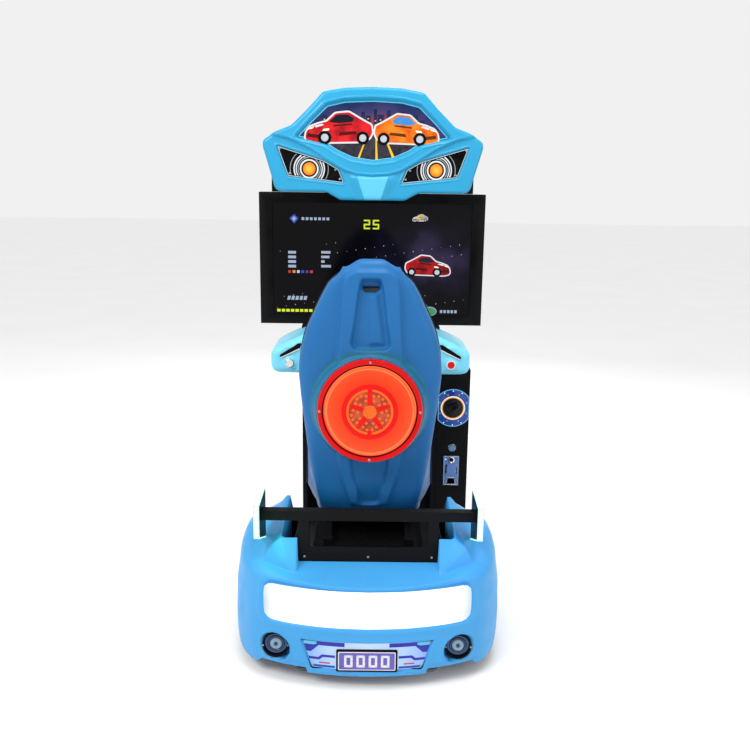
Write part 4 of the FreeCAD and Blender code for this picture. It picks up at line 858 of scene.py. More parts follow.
def build_seat_lamp():
    red = glow("lamp_ring_red", (222, 14, 16), 0.7, 0.12, 9)
    face = (0, -505, BOSS_Z)
    ring = lathe("seat_lamp_bezel", [(152, -4), (168, -4), (168.5, 14), (167.5, 19), (165, 22), (158, 22.5), (153.5, 21),
                                     (152, 17)], face, red, "seat", segments=144, holed=True)
    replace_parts(ring, "seat_lamp_ring")
    lathe("seat_lamp_seal", [(148.5, 6), (152.2, 6), (152.2, 17.5), (150.4, 18.4), (148.5, 17)], face, "black_print",
          "seat", segments=144, holed=True)
    lens_glow = spread_glow("lamp_lens_glow", (0, -0.52, 0.852), (1, 0, 1), 0.15,
                            ((0, (255, 66, 26)), (0.5, (255, 58, 22)), (0.62, (250, 54, 22)), (0.9, (255, 74, 34)),
                             (0.97, (255, 110, 60)), (1, (236, 44, 24))), 1.0, 0.18, 0.04, 5)
    lens = lathe("seat_lamp_lens_dome", [(148.8, 2), (148.8, 13), (147.5, 15), (140, 17.5), (128, 19), (96, 20.5),
                                         (90, 20.6), (60, 20.8)], face, lens_glow, "seat", segments=144)
    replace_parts(lens, "seat_lamp_lens")
    lathe("seat_lamp_rim_light", [(136, 17.4), (139.5, 16.8), (139.8, 18.4), (138, 19.2), (136, 18.8)], face,
          glow("lamp_rim_glow", (255, 120, 70), 1.0), "seat", segments=144, holed=True)
    hub_red = glow("lamp_hub_red", (226, 20, 16), 0.85, 0.1, 12)
    orange = glow("lamp_hub_orange", (255, 96, 30), 1.0, 0.08, 20)
    ember = glow("lamp_hub_ember", (176, 62, 44), 0.55, tone=40, second=(214, 96, 60))
    for word, mat, segments, holed, profile in (
            ("ring", hub_red, 120, True, [(74, 18), (90, 18), (90, 22.4), (88, 23.6), (76, 23.6), (74, 22.4)]),
            ("field", ember, 96, False, [(74.5, 18), (74.5, 21), (40, 21.4)]),
            ("band", orange, 120, True, [(67.5, 19), (74.6, 19), (74.6, 23), (73.6, 24), (68.6, 24), (67.5, 23)]),
            ("cap", orange, 64, False, [(22, 18), (22, 23), (20, 25.5), (15, 26.6), (12, 25.2), (0.1, 25)])):
        lathe("lamp_hub_" + word, profile, face, mat, "seat", segments=segments, holed=holed)
    spokes, cells = [], []
    for k in range(5):
        a = TAU * k / 5 + TAU / 4
        c, s = math.cos(a), math.sin(a)
        turn = lambda u, v: (u * c - v * s, BOSS_Z + u * s + v * c)
        spokes.append([turn(*p) for p in ((14, -9), (70, -5), (70, 5), (14, 9))])
        for j in (-1, 1):
            for u, v in ((36, 13), (52, 12), (52, 28)):
                cells.append(circle(*turn(u, v * j), 5.4, 6))
    prisms("lamp_spokes", spokes, -528.5, -523, hub_red, "seat", edge=0.0015)
    prisms("lamp_cells", [shrink(c, 0.5) for c in cells], -527.4, -524, orange, "seat", edge=0.0006)
    gaps = [[(-7.5, BOSS_Z + s * 62), (7.5, BOSS_Z + s * 62), (7.5, BOSS_Z + s * 88), (-7.5, BOSS_Z + s * 88)]
            for s in (-1, 1)]
    prisms("lamp_hub_breaks", gaps, -530.2, -524, hub_red, "seat", edge=0.0012)
    screws("seat_lamp_screws", [(160 * dx, -527.4, BOSS_Z + 160 * dz) for dx, dz in ((0, 1), (1, 0), (0, -1), (-1, 0))],
           4.2, "seat")


def on_spine(s, x, n):
    y, z, ny, nz = spine(s)
    return (x, y + ny * n, z + nz * n)


BACK_SEAMS = [([on_spine(s, x, 60) for x in (-150, -70, 0, 70, 150)], 7, 5) for s in (640, 800, 960)]
BACK_SEAMS += [([on_spine(s, side * x, 58) for s, x in ((520, 76), (700, 96), (900, 106), (1150, 72))], 7, 5)
               for side in (-1, 1)]
BASE_SEAMS = [([on_spine(s, x, 70) for x in (-130, -60, 0, 60, 130)], 7, 5) for s in (90, 190)]
BASE_SEAMS += [([on_spine(s, side * x, 70) for s, x in ((20, 92), (150, 92), (280, 84))], 7, 5) for side in (-1, 1)]


def build_pad(node_name, name, channels, station):
    """Swell the plain CAD pad into upholstery, then press the sewn lines into it."""
    source = NODES[node_name]
    obj = source.copy()
    obj.data = source.data.copy()
    obj.name = name
    obj.data.name = name
    for key in [k for k in obj.keys() if k.startswith("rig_")]:
        del obj[key]
    bpy.context.scene.collection.objects.link(obj)
    obj.hide_render = obj.hide_viewport = False
    obj.parent = None
    obj.matrix_world = source.matrix_world.copy()
    obj.modifiers.clear()
    obj.data.materials.clear()
    obj.data.materials.append(MAT["leather"])
    bpy.context.view_layer.objects.active = obj
    remesh = obj.modifiers.new("voxels", "REMESH")
    remesh.mode = "VOXEL"
    remesh.voxel_size = 0.0065
    apply_all(obj)
    swell(obj, 0.011, np.array((0, *spine(station)[2:])))
    press(obj, channels)
    smooth = obj.modifiers.new("smooth", "SMOOTH")
    smooth.factor = 0.5
    smooth.iterations = 4
    sub = obj.modifiers.new("finer", "SUBSURF")
    sub.levels = sub.render_levels = 1
    obj.data.polygons.foreach_set("use_smooth", [True] * len(obj.data.polygons))
    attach(obj, "seat")
    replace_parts(obj, node_name)


def apply_all(obj):
    deps = bpy.context.evaluated_depsgraph_get()
    mesh = bpy.data.meshes.new_from_object(obj.evaluated_get(deps))
    obj.modifiers.clear()
    obj.data = mesh


def swell(obj, most, up):
    """Blow the pad up by at most `most` metres, never against `up`, the way it faces off the shell."""
    start = np.array([v.co[:] for v in obj.data.vertices])
    cloth = obj.modifiers.new("cloth", "CLOTH")
    cloth.settings.quality = 5
    cloth.settings.mass = 0.3
    cloth.settings.tension_stiffness = 15
    cloth.settings.compression_stiffness = 15
    cloth.settings.use_pressure = True
    cloth.settings.uniform_pressure_force = 4
    cloth.settings.effector_weights.gravity = 0
    for at in range(1, 21):
        bpy.context.scene.frame_set(at)
    apply_all(obj)
    bpy.context.scene.frame_set(1)
    now = np.array([v.co[:] for v in obj.data.vertices])
    move = now - start
    move -= np.minimum(0, move @ up)[:, None] * up
    size = np.linalg.norm(move, axis=1, keepdims=True)
    now = start + move * np.minimum(1, most / np.maximum(size, 1e-9))
    obj.data.vertices.foreach_set("co", now.ravel())


def press(obj, channels):
    """Sink each sewn line, given as points, width and depth in mm, into the pad."""
    co = np.array([v.co[:] for v in obj.data.vertices]) * 1000
    normals = np.array([v.normal[:] for v in obj.data.vertices])
    for line, wide, deep in channels:
        path = catmull(line, 90)
        gap = np.min(np.linalg.norm(co[:, None, :] - path[None], axis=2), axis=1)
        co -= normals * (deep * (1 - ease(0, wide, gap)))[:, None]
    obj.data.vertices.foreach_set("co", (co * 0.001).ravel())
    obj.data.update()


# ---------------------------------------------------------------- header

HEAD_C = (0, 1745)
HEADER = rounded(mirrored(((0, 1919), (110, 1915), (195, 1900), (255, 1836), (320, 1773), (385, 1748), (432, 1716),
                           (434, 1694), (397, 1567), (388, 1532), (370, 1519), (183, 1519), (127, 1489), (0, 1489))), 9)
WINDOW = rounded(mirrored(((0, 1867), (110, 1862), (179, 1846), (240, 1788), (295, 1730), (250, 1722), (185, 1707),
                           (140, 1678), (80, 1652), (0, 1641))), 6)
LAMP = rounded([(378, 1696), (335, 1579), (111, 1554), (134, 1609), (190, 1640), (268, 1664)], 8)
BROW = ((0, 1582), (60, 1586), (110, 1602), (174, 1640), (246, 1684), (330, 1722), (408, 1740), (435, 1745))


def build_header():
    def face(x, z):
        ax = np.abs(x)
        y = 301 + 4 * ease(120, 430, ax)
        under = across(BROW, ax) - z
        y = y + 9 * ease(-3, 5, under)
        half = 33 + 25 * ease(1495, 1586, z)
        flank = 76 + 32 * ease(1495, 1586, z)
        nose = (1 - ease(half, flank, ax)) * ease(-2, 10, under)
        y = y - 13 * nose + 4 * nose * ease(1572, 1586, z)
        gap = distance(WINDOW, x, z)
        y = y + 12 * (1 - ease(0, 12, gap)) - 2.5 * hump(gap, 16, 5)
        edge = distance(LAMP, ax, z)
        y = y + 12 * inside(edge, 2.5) - 2.5 * hump(edge, 7, 5)
        return y - 2 * hump(under, -8, 6)

    shell = moulding("header_cowl", HEADER, HEAD_C, face, 388, "header", inner=WINDOW, roll=14, rows=110,
                     skin=4)
    shell.data.materials.append(MAT["pale"])
    for poly in shell.data.polygons:
        x, z = poly.center.x * 1000, poly.center.z * 1000
        low = across(BROW, abs(x)) - z
        if low > 3 and abs(x) < 62 + 0.32 * (z - 1586) and z > 1492 and poly.center.y < 0.318:
            poly.material_index = 1
    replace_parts(shell, "header_shell")
    edge = [(x, 313.5, z) for x, z in shrink(WINDOW, 2)]
    tube("header_window_bead", edge, 2.2, "pale", closed=True)
    for side, word in ((-1, "left"), (1, "right")):
        plate = LAMP if side > 0 else flip_x(LAMP)
        inner = shrink(plate, 3.5)
        obj = prism("headlamp_plate_" + word, inner, 317.5, 325, "black_print", edge=0.0008)
        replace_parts(obj, "headlamp_lenses")
        tube("headlamp_edge_" + word, [(x, 317.2, z) for x, z in shrink(plate, 3)], 1.3,
             glow("lamp_edge_white_" + word, (216, 234, 240), 0.6), closed=True)
        build_headlamp_rings(side, word, inner)
        places = ((130, 1571), (147, 1606), (328, 1590), (366, 1684), (266, 1652))
        screws("headlamp_screws_" + word, [(side * x, 317.2, z) for x, z in places], 4.5)


def arc(centre, r0, r1, clip):
    """Pieces of a flat ring that lie inside a clip outline."""
    steps = 140
    out, run = [], []
    a = np.linspace(0, TAU, steps + 1)
    keep = distance(clip, centre[0] + r1 * np.cos(a), centre[1] + r1 * np.sin(a)) < -1.5
    for k in range(steps):
        if keep[k] and keep[k + 1]:
            run.append(k)
        elif run:
            out.append(run)
            run = []
    if run:
        out.append(run)
    if len(out) > 1 and out[0][0] == 0 and out[-1][-1] == steps - 1:
        out[0] = [k - steps for k in out.pop()] + out[0]
    shapes = []
    for run in out:
        if len(run) < 4:
            continue
        ks = run + [run[-1] + 1]
        angles = [TAU * k / steps for k in ks]
        shapes.append([(centre[0] + r1 * math.cos(t), centre[1] + r1 * math.sin(t)) for t in angles]
                      + [(centre[0] + r0 * math.cos(t), centre[1] + r0 * math.sin(t)) for t in reversed(angles)])
    return shapes


def build_headlamp_rings(side, word, clip):
    cx, cz = side * 250, 1608
    spot = (cx, 317, cz)
    grey = glow("lamp_grey_" + word, (226, 234, 236), 0.8, 0.1, 40)
    steel = glow("lamp_steel_" + word, (150, 166, 174), 0.65, 0.1, 40)
    lathe("headlamp_ring_inner_" + word, [(31, -2), (37, -2), (37, 1.8), (36, 2.6), (32, 2.6), (31, 1.8)], spot, grey,
          segments=80, holed=True)
    for name, r0, r1, mat in (("thin", 41.5, 45, steel), ("mid", 49, 53, "white_print"),
                              ("outer", 57, 62, "white_print"), ("wide", 73.5, 76.5, steel)):
        shapes = arc((cx, cz), r0, r1, clip)
        if shapes:
            prisms("headlamp_ring_%s_%s" % (name, word), shapes, 315.8, 318, mat)
    amber = spread_glow("headlamp_amber_" + word, (cx * 0.001, 0.312, cz * 0.001), (1, 0, 1), 0.027,
                        ((0, (255, 190, 70)), (0.45, (255, 164, 48)), (0.85, (246, 122, 30)), (1, (200, 78, 20))), 1.0,
                        0.2)
    lathe("headlamp_amber_lens_" + word, [(25, -2), (25, 1.5), (23.5, 3.6), (19, 5.2), (12, 6.4), (5, 6.9), (0.4, 7)],
          spot, amber, segments=72)


def toy_car(name, x, z, size, y, paint, tone, canopy, facing):
    """A simple low sports car seen from the front quarter, built up of flat shapes."""
    shift = lambda pts: [(x + facing * px * size, z + pz * size) for px, pz in pts]
    own = glow(name + "_paint", paint, 0.85, tone=22, second=tone)
    dark = glow(name + "_shade", [c * 0.42 for c in paint], 0.6, tone=30)
    body = ((-1.0, 0.02), (-0.97, 0.2), (-0.86, 0.34), (-0.6, 0.44), (-0.36, 0.5), (-0.1, 0.74), (0.3, 0.78),
            (0.58, 0.62), (0.8, 0.5), (0.97, 0.42), (1.0, 0.2), (0.92, 0.04), (0.7, -0.06), (-0.7, -0.1),
            (-0.93, -0.06))
    skin = rounded(shift(body), 0.05 * size)
    prism(name + "_outline", shrink(skin, -0.05 * size), y - 0.5, y + 1.2, "white_print")
    prism(name + "_body", skin, y - 1.6, y, own, edge=0.0003)
    glass = ((-0.3, 0.49), (-0.08, 0.69), (0.26, 0.72), (0.46, 0.6), (0.4, 0.5), (0.0, 0.46))
    glass = rounded(shift(glass), 0.04 * size)
    prism(name + "_canopy", glass, y - 2.3, y - 1.2, glow(name + "_glass", canopy, 0.7, tone=40))
    low = [shift(p) for p in (((-0.95, 0.06), (-0.6, 0.02), (-0.2, 0.04), (-0.24, 0.13), (-0.6, 0.12), (-0.93, 0.16)),
                              ((0.0, 0.1), (0.56, 0.16), (0.5, 0.24), (0.04, 0.2)),
                              ((-0.16, 0.36), (0.4, 0.42), (0.38, 0.46), (-0.16, 0.41)))]
    prisms(name + "_vents", low, y - 2.2, y - 1.2, dark)
    wheels, rims = [], []
    for wx, wr in ((-0.42, 0.2), (0.72, 0.19)):
        cx, cz = x + facing * wx * size, z + 0.04 * size
        wheels.append(circle(cx, cz, wr * size, 22))
        rims.append(circle(cx, cz, wr * size * 0.56, 16))
    prisms(name + "_tyres", wheels, y - 2.6, y - 0.6, "black_print")
    prisms(name + "_rims", rims, y - 3.1, y - 1.8, glow(name + "_rim", (206, 214, 224), 0.6, tone=60))
    lights = [rounded(shift(p), 0.02 * size) for p in (((-0.95, 0.26), (-0.78, 0.3), (-0.72, 0.37), (-0.84, 0.33)),
                                                       ((-0.5, 0.22), (-0.3, 0.25), (-0.28, 0.31), (-0.46, 0.29)))]
    prisms(name + "_lights", lights, y - 2.4, y - 1.2, glow(name + "_beam", (255, 246, 214), 1.0, tone=40))
    stripe = shift(((-0.74, 0.38), (-0.5, 0.44), (-0.44, 0.4), (-0.68, 0.33)))
    prism(name + "_stripe", stripe, y - 2.2, y - 1.2, "white_print")


def build_header_art():
    sky = spread_glow("art_sky", (0.02, 0.31, 1.7), (0.5, 0, 1), 0.17,
                      ((0, (224, 120, 52)), (0.35, (178, 74, 62)), (0.7, (74, 66, 122)), (1, (30, 52, 104))), 0.5, 0.3,
                      0.12, 14)
    show = lambda name, shapes, near, far, mat: prisms(name, shapes, near, far, mat)
    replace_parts(show("header_art_back", [shrink(WINDOW, -2)], 314.5, 318.5, sky), "header_art_lens")
    field = shrink(WINDOW, 5)
    towers, lit = [], []
    steps = ((-214, 1792, 20), (-190, 1812, 16), (-168, 1800, 22), (-140, 1832, 14), (-120, 1814, 18), (-96, 1838, 12),
             (-72, 1806, 24), (-40, 1826, 15), (-20, 1812, 18), (8, 1836, 12), (28, 1816, 24), (60, 1832, 14),
             (84, 1806, 20), (112, 1828, 16), (136, 1808, 22), (166, 1818, 16), (190, 1796, 20))
    for i, (x, top, wide) in enumerate(steps):
        towers.append(rect(x - wide / 2, 1742, wide, top - 1742))
        for k in range(3):
            zz = 1760 + 15 * k + 4 * (i % 3)
            if zz < top - 10:
                lit.append(rect(x - 3, zz, 6, 4))
    show("art_towers", towers, 313.4, 315.6, glow("art_tower", (38, 48, 92), 0.5, tone=30, second=(26, 34, 66)))
    show("art_windows", lit, 312.8, 313.8, glow("art_window", (255, 176, 84), 0.9))
    road = [(-292, 1729), (-120, 1762), (0, 1768), (110, 1762), (286, 1729), (248, 1724), (184, 1709), (139, 1680),
            (80, 1655), (0, 1644), (-80, 1655), (-139, 1680), (-184, 1709), (-248, 1724)]
    show("art_road", [road], 312.9, 315.6, glow("art_tarmac", (46, 46, 58), 0.5, tone=40, second=(70, 66, 78)))
    lanes = [[(-60, 1652), (-52, 1652), (-12, 1762), (-15, 1762)], [(10, 1647), (19, 1647), (12, 1762), (9, 1762)],
             [(74, 1656), (84, 1658), (34, 1762), (31, 1762)], [(-234, 1724), (-222, 1722), (-60, 1760), (-64, 1761)],
             [(222, 1722), (234, 1724), (64, 1761), (60, 1760)]]
    show("art_lanes", lanes, 312.3, 313.4, glow("art_lane", (250, 196, 44), 0.85, tone=30))
    streaks = []
    for i in range(26):
        x = -270 + 21.6 * i
        z = 1738 + 9 * math.sin(i * 2.3)
        if distance(field, x, z) < -14 and distance(field, x + 26, z) < -10:
            streaks.append([(x, z), (x + 26, z + 1.2), (x + 26, z + 3.4), (x, z + 2.4)])
    show("art_streaks", streaks, 312.2, 313.6, glow("art_streak", (255, 120, 64), 0.9, tone=30))
    toy_car("art_red_car", -134, 1722, 130, 311.8, (222, 34, 40), (150, 20, 30), (20, 26, 40), 1)
    toy_car("art_orange_car", 130, 1720, 124, 311.8, (250, 132, 32), (206, 84, 20), (64, 150, 220), -1)


# ---------------------------------------------------------------- screen

def build_screen():
    face = 390
    night = spread_glow("screen_night", (0.24, 0.394, 1.24), (0.8, 0, 1), 0.3,
                        ((0, (52, 42, 74)), (0.3, (20, 18, 34)), (0.6, (8, 8, 14)), (1, (4, 4, 7))), 0.55, 0.12, 0.3, 6)
    glass = prism("screen_picture", [(-407, 1018), (407, 1018), (407, 1477), (-407, 1477)], face + 6, face + 14, night,
                  edge=0.001)
    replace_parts(glass, "monitor_panel")
    y0, y1 = face + 4.4, face + 6.4
    show = lambda name, shapes, mat, near=y0, far=y1: prisms("screen_" + name, shapes, near, far, mat)
    lime = glow("screen_lime", (206, 220, 52), 0.85, 0.06, 30)
    pale = glow("screen_pale", (176, 190, 216), 0.5, 0.1, 40)
    blue = glow("screen_blue", (58, 92, 200), 0.7, 0.1, 30, second=(34, 60, 170))
    hues = (("red", (196, 60, 40)), ("amber", (220, 150, 60)), ("pale", (190, 200, 230)), ("blue", (60, 80, 190)),
            ("violet", (96, 60, 130)), ("magenta", (190, 60, 90)))
    show("digits", numerals("25", -34, 1372, 26, 38, 6), lime)
    diamond = [(-318, 1430), (-301, 1412), (-318, 1392), (-337, 1412)]
    show("diamond", [diamond], blue)
    show("diamond_core", [shrink(diamond, 6)], pale, y0 - 0.8, y0 + 0.4)
    show("title_blocks", [rect(-288 + 17 * i, 1406, 11, 11) for i in range(7)], pale)
    show("bars_left", [rect(-344, 1212 + 19 * i, 32, 11) for i in range(4)], pale)
    show("bars_mid", [rect(-208, 1214 + 19 * i, (40, 14, 34, 38)[i], 10) for i in range(4)], pale)
    for i, (word, hue) in enumerate(hues):
        show("square_" + word, [rect(-344 + 18 * i, 1190, 11, 11)], glow("screen_hue_" + word, hue, 0.7))
    slant = ((-350, 1078), (-338, 1078), (-334, 1094), (-346, 1094))
    show("slants", [[(x + 17 * i, z) for x, z in slant] for i in range(5)], pale)
    show("gauge", [rect(-392 + 19 * i, 1028, 14, 11) for i in range(9)], lime)
    show("button", [circle(244, 1036, 27, 40, 0.62)], glow("screen_green", (70, 150, 96), 0.7, 0.1, 30))
    show("button_rim", [circle(244, 1036, 30, 40, 0.66)], pale, y1 - 0.6, y1 + 0.6)
    show("button_blocks", [rect(288 + 15 * i, 1030, 10, 12) for i in range(5)], pale)
    dots = []
    for i in range(60):
        x, z = -392 + (i * 137) % 784, 1046 + (i * 211) % 420
        if distance(rect(-350, 1180, 200, 120), x, z) > 8:
            dots.append(circle(x, z, 1.0 + 1.2 * ((i * 7) % 5) / 5, 8))
    show("sparks", dots, glow("screen_spark", (230, 190, 160), 0.5, tone=90, second=(170, 184, 240)), y0 + 0.6)
    toy_car("screen_car", 232, 1196, 92, face + 3.4, (196, 26, 28), (110, 14, 20), (30, 36, 50), -1)
    toy_car("screen_small_car", 196, 1410, 30, face + 3.4, (60, 96, 190), (214, 190, 60), (220, 190, 50), 1)


# ---------------------------------------------------------------- dash, buttons

DASH_C = (0, 870)
DASH = rounded(mirrored(((0, 1010), (150, 1004), (263, 977), (330, 947), (376, 922), (392, 905), (392, 850), (384, 830),
                         (360, 822), (290, 822), (190, 818), (150, 660), (0, 660))), 12)


def dash_face(x, z):
    ax = np.abs(x)
    y = 126 + 8 * ease(140, 380, ax)
    y = y + 7 * ease(928, 992, z) * (1 - ease(250, 330, ax))
    crease = 906 + 0.155 * (ax - 120)
    y = y + 4 * ease(-2, 6, z - crease) * (1 - ease(380, 392, ax)) - 2 * hump(z - crease, -8, 7)
    y = y - 6 * (1 - ease(60, 84, np.hypot(x, z - 774)))
    near = 1 - ease(21, 34, np.hypot(ax - 316, z - 866))
    return y + (125.4 - y) * near


def build_dash():
    shell = moulding("dash_cowl", DASH, DASH_C, dash_face, 388, "dash", roll=26, rows=70, skin=5,
                     turns=620)
    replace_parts(shell, "dash_shell")
    half = rounded([(356, 897), (350, 886), (276, 925), (270, 944), (282, 944)], 3)
    y = min(float(dash_face(x, z)) for x, z in half) - 1.5
    slots = prisms("dash_slots", [half, flip_x(half)], y, y + 8, "plastic", edge=0.0008)
    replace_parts(slots, "dash_light_strips")
    for side, word in ((-1, "left"), (1, "right")):
        line = [(side * x, y - 0.6, z) for x, z in ((351, 887), (330, 897), (300, 912), (277, 924))]
        tube("dash_slot_light_" + word, line, 1.8, "white_print", samples=24)
    lathe("dash_bearing", [(28, -6), (50, -6), (50, 3), (48, 7), (40, 9), (32, 9), (28.5, 6)], (0, 121, 774), "powder",
          holed=True, segments=96)


def build_buttons():
    white = glow("button_white_cap", (226, 230, 234), 0.65)
    red = glow("button_red_cap", (208, 24, 24), 0.75)
    for x, body, cap, ring, slot in ((-316, "start", white, "chrome", "button_white"),
                                     (316, "view", red, "white_print", "button_red")):
        dome = lathe(body + "_button_cap", [(13.6, -10), (13.6, 6), (12.9, 7.6), (11, 8.3), (9.6, 7.6), (5, 7.2),
                                            (0.3, 7)], (x, 125, 866), cap, body, segments=56)
        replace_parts(dome, body + "_button")
        bezel = lathe(body + "_button_bezel", [(14.4, -12), (18, -12), (18, 2), (17.4, 3.6), (15.8, 4.4), (14.4, 3.6)],
                      (x, 125, 866), ring, segments=64, holed=True)
        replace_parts(bezel, "button_bezels")


# ---------------------------------------------------------------- coin column, shifter

def build_shifter():
    gloss = finish_like("shifter_gloss_blue", (24, 62, 156), 0.22, 0.08, 6, 260, 0.04, coat=0.5)
    face = [(350 + max(-64, min(70, px)), 636 + pz) for px, pz in circle(0, 0, 83, 160)]
    plate = prism("shifter_disc", face, 332, 338, gloss, edge=0.0018)
    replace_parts(plate, "shifter_plate")
    tube("shifter_disc_edge", [(x, 332.6, z) for x, z in shrink(face, 3)], 1.5,
         glow("shifter_edge", (120, 210, 255), 0.7), closed=True)
    for name, r0, colour in (("white", 47.6, (240, 244, 246)), ("amber", 43.4, (255, 168, 44))):
        section = [(r0 + out, h) for out, h in ((0, -2), (3.6, -2), (3.6, 1.8), (2.6, 2.6), (1, 2.6), (0, 1.8))]
        lathe("shifter_ring_" + name, section, (350, 332, 636), glow("shift_" + name, colour, 0.9),
              segments=96, holed=True)
    places = [(61 * math.cos(a), 61 * math.sin(a)) for a in np.radians(22.5 + 45 * np.arange(8))]
    screws("shifter_screws", [(350 + x, 332, 636 + z) for x, z in places], 5)
    led = [circle(350 + 74 * math.cos(a), 636 + 74 * math.sin(a), 2.4, 12)
           for a in (1.05, 1.57, 2.09, -1.05, -1.57, -2.09)]
    prisms("shifter_leds", led, 330.6, 332.6, glow("led_blue", (140, 220, 255), 2.0))
    folds = [(42, 0)]
    for k, t in enumerate(np.linspace(0, 1, 17)):
        folds.append((42 - 18 * t + (1.8 if k % 4 in (1, 2) else 0), 1 + 15 * t))
    boot = lathe("shifter_boot", folds + [(23.4, 15), (24.5, 8), (38, 0)], (350, 332, 636), "rubber",
                 segments=72, holed=True)
    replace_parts(boot, "shifter_housing")
    away = (0, -0.9135, 0.4067)
    ball = [(21 * math.cos(a), 21 * math.sin(a)) for a in np.linspace(-1.5, 0.95, 22)]
    neck = [(11.4, 20), (12, 22), (10.6, 24), (11, 26), (9.4, 28), (9.6, 30), (7.4, 31.5)]
    lathe("shifter_ball_joint", ball + neck, (350, 310, 636), "rubber", "shifter", away, 60)
    knob = [(7.4, 70.5), (8.8, 71.5), (8.8, 74.6), (9.6, 75.4)]
    knob += [(17 * math.cos(a), 90 + 17 * math.sin(a)) for a in np.linspace(-0.9, 0.05, 9)]
    knob += [(16.4, 91.4), (16.4, 92.2)]
    knob += [(16.9 * math.cos(a), 90 + 17 * math.sin(a)) for a in np.linspace(0.17, 1.5, 13)]
    ball = lathe("gear_knob_ball", knob, (350, 310, 636), "plastic", "shifter", away, 60)
    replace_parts(ball, "gear_knob")


def build_coin_face():
    outline = rounded([(318, 291), (384, 291), (384, 423), (318, 423)], 3)
    tube("coin_face_bead", [(x, 333.8, z) for x, z in shrink(outline, 2.5)], 1.3, "alu", "coin_door",
         closed=True)
    prism("coin_groove", [(327, 342), (333, 348), (333, 388), (327, 382)], 333.2, 334.4, "black_print", "coin_door")
    chute = rounded([(331, 295), (371, 295), (365, 326), (337, 326)], 2)
    tube("coin_return_edge", [(x, 333.6, z) for x, z in chute], 1.6, "alu", "coin_door", closed=True)
    lathe("coin_entry_ring", [(8.9, -1), (14, -1), (14, 2.4), (12.6, 3.4), (10, 3.4), (8.9, 2.4)], (351, 333.9, 405),
          "chrome", "coin_door", segments=48, holed=True)
    cap = lathe("coin_reject_cap", [(5, -12), (5, -2), (7.8, -1.6), (7.8, 1.6), (6.6, 2.6), (4, 3.2), (0.3, 3.3)],
                (351, 333.3, 405), "plastic", "coin_reject", segments=40)
    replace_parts(cap, "coin_reject_button")
    lathe("coin_led", [(2.6, -0.6), (2.6, 1.2), (1.6, 1.9), (0.2, 2)], (327, 333.9, 408),
          glow("coin_led_blue", (80, 190, 255), 3.0), "coin_door", segments=20)
    screws("coin_face_screws", [(323, 333.8, 417), (379, 333.8, 417), (323, 333.8, 297), (379, 333.8, 297)], 3.2,
           "coin_door")
    lathe("coin_lock_bezel", [(13.5, -1), (17, -1), (17, 2), (16, 3.2), (14.4, 3.2), (13.5, 2)], (353, 337.6, 459),
          "chrome", "coin_door", segments=64, holed=True)


# ---------------------------------------------------------------- wheel

def build_wheel():
    tilt = math.radians(15)
    centre = Vector((0, 15, 800))
    across_x, up = Vector((1, 0, 0)), Vector((0, math.sin(tilt), math.cos(tilt)))
    axis = Vector((0, -math.cos(tilt), math.sin(tilt)))
    ring, grip, n, sides = 155, 14, 180, 26
    verts = []
    for i in range(n):
        a = TAU * i / n
        out = math.cos(a) * across_x + math.sin(a) * up
        bulge = sum(1 - float(ease(0.1, 0.42, abs((a - math.radians(c) + math.pi) % TAU - math.pi))) for c in (18, 162))
        for k in range(sides):
            b = TAU * k / sides
            r = grip * (0.93 - 0.05 * math.cos(2 * b)) + bulge * max(0, -math.cos(b))
            r -= 0.8 * float(hump(abs(b - math.pi), 0, 0.25))
            verts.append(centre + out * (ring + r * math.cos(b)) + axis * r * math.sin(b))
    faces = grid_faces(n, sides, True)
    faces += last_to_first((n - 1) * sides, sides)
    rim = close_normals(piece("wheel_grip", verts, faces, "leather", "steering"))
    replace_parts(rim, "wheel_rim")
    verts, faces = [], []
    for i in range(0, n, 2):
        a = TAU * i / n
        out = math.cos(a) * across_x + math.sin(a) * up
        along = -math.sin(a) * across_x + math.cos(a) * up
        base = len(verts)
        for s in (-1, 1):
            for u in (-0.6, 0.6):
                for v in (0.4, -1.0):
                    verts.append(centre + out * (ring - 12.6 + v) + along * (u + 0.9 * s) + axis * 1.7 * s)
        faces += box_faces(base)
    close_normals(piece("wheel_stitching", verts, faces, "stitch", "steering", smooth=False))
    lathe("wheel_hub_cap", [(26, 6), (26, 13), (24, 16), (18, 18), (16, 17), (6, 17.4), (0.3, 17.5)], centre, "plastic",
          "steering", axis, 64)
    bolts = [centre + axis * 10 + (math.cos(a) * across_x + math.sin(a) * up) * 32
             for a in np.arange(6) * TAU / 6 + 0.5]
    screws("wheel_hub_bolts", bolts, 4, "steering", axis)


def build_transport_wheels():
    for side, word in ((-1, "left"), (1, "right")):
        half = [(5.1, 7), (9, 7), (9, 9.6), (15, 9.6), (16, 7.6), (20, 7.6), (21.5, 9.6), (23.4, 8.6), (24, 7), (24, 3),
                (23, 2.4), (23, 0.8)]
        profile = half + [(r, -h) for r, h in reversed(half)]
        wheel = lathe("transport_tyre_" + word, profile, (side * 205, 560, 30), "rubber", "wheel_" + word,
                      (1, 0, 0), 64, holed=True)
        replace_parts(wheel, "transport_wheel_" + word)


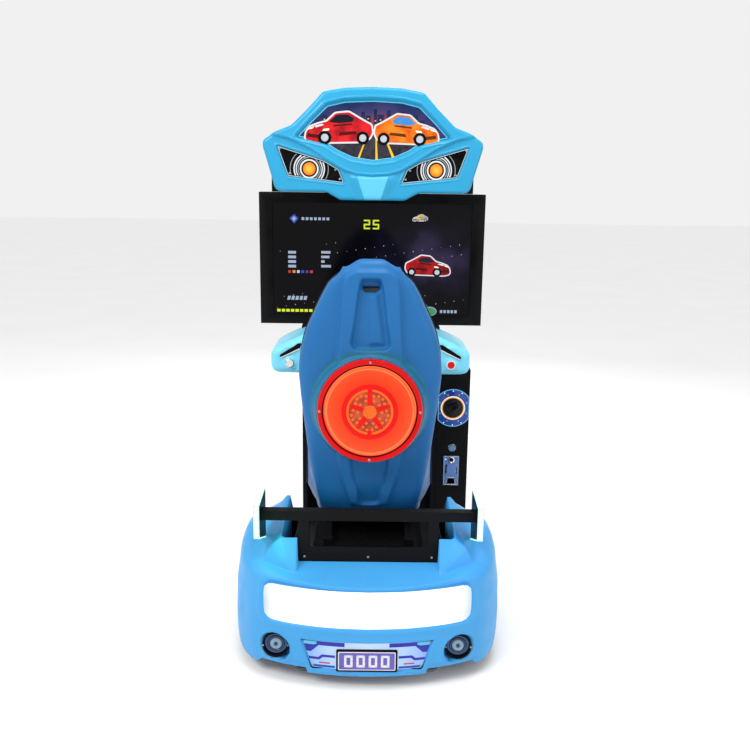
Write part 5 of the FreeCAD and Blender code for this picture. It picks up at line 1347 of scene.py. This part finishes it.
def build_pedals():
    """Grip strips on the pedal pads, laid on the leaning CAD plates."""
    lean = math.radians(14)
    for name, x0, x1 in (("accelerator", 46, 94), ("brake", -104, -36)):
        source = NODES[name + "_pedal"]
        co = np.array([v.co[:] for v in source.data.vertices]) * 1000
        pad = co[(co[:, 0] > x0 - 12) & (co[:, 0] < x1 + 12)]
        front = pad @ np.array((0, -math.cos(lean), math.sin(lean)))
        along = pad @ np.array((0, math.sin(lean), math.cos(lean)))
        face, low, high = front.max(), along[front > front.max() - 1].min(), along[front > front.max() - 1].max()
        verts, faces = [], []
        for t in np.linspace(low + 10, high - 10, 7):
            base = len(verts)
            for f in (face - 0.5, face + 2):
                for x in (x0, x1):
                    for u in (-2.5, 2.5):
                        verts.append((x, -math.cos(lean) * f + math.sin(lean) * (t + u),
                                      math.sin(lean) * f + math.cos(lean) * (t + u)))
            faces += box_faces(base)
        strips = close_normals(piece(name + "_grips", verts, faces, "rubber", name, smooth=False))
        soften(strips, 0.0006)


# ---------------------------------------------------------------- finishes for the CAD nodes

def finish_nodes():
    strip = glow("strip_glow", (196, 244, 214), 1.0, 0.1, 30)
    blue_coin = finish_like("coin_blue_metal", (110, 140, 190), 0.28, 0.2, 8, 240, 0.15, metal=0.7, stretch=(1, 30, 1))
    finish = {"black_steel": "powder", "deck_board": "deck", "zinc_steel": "zinc", "wheel_rubber": "rubber",
              "blue_body": "body", "white_light": "band", "panel_art": "pale", "black_plastic": "plastic",
              "strip_light": strip, "seat_blue": "seat", "black_board": "board", "grey_case": "grey",
              "coin_metal": blue_coin, "lock_chrome": "chrome", "lever_chrome": "chrome", "knob_black": "plastic",
              "spoke_alu": "alu", "shaft_steel": "zinc", "pulley_alu": "alu", "belt_rubber": "rubber",
              "motor_grey": "grey", "pedal_alu": "alu"}
    slots = {part["node"]: part["material_slot"] for part in frame["record"]["subparts"]}
    edges = {"seat_lower_rails": 0.6, "spoiler_endplates": 1.2, "spoiler_frame": 2.2, "rear_light_lens": 1.5,
             "endplate_light_strips": 1.0, "coin_plate": 0.8, "drive_belt": 0.5, "monitor_housing": 2.5,
             "pedestal_body": 1.2, "floor_deck": 2.0, "wheel_spokes": 1.6, "steering_shaft": 0.8, "power_inlet": 0.8}
    for name, node in NODES.items():
        look = finish.get(slots[name], "plastic")
        node.data.materials.clear()
        node.data.materials.append(MAT[look] if isinstance(look, str) else look)
        if node.hide_render:
            continue
        for poly in node.data.polygons:
            poly.use_smooth = False
        soften(node, edges.get(name, 1.0) * 0.001, 2, 40)
        split = node.modifiers.new("split", "EDGE_SPLIT")
        split.split_angle = math.radians(32)
        node.data.polygons.foreach_set("use_smooth", [True] * len(node.data.polygons))


build_stage()
build_rear_body()
build_rear_trim()
build_spoiler()
build_seat_shell()
build_seat_lamp()
build_pad("seat_back_pad", "back_cushion", BACK_SEAMS, 900)
build_pad("seat_base_pad", "base_cushion", BASE_SEAMS, 0)
build_header()
build_header_art()
build_screen()
build_dash()
build_buttons()
build_shifter()
build_coin_face()
build_wheel()
build_transport_wheels()
build_pedals()
finish_nodes()
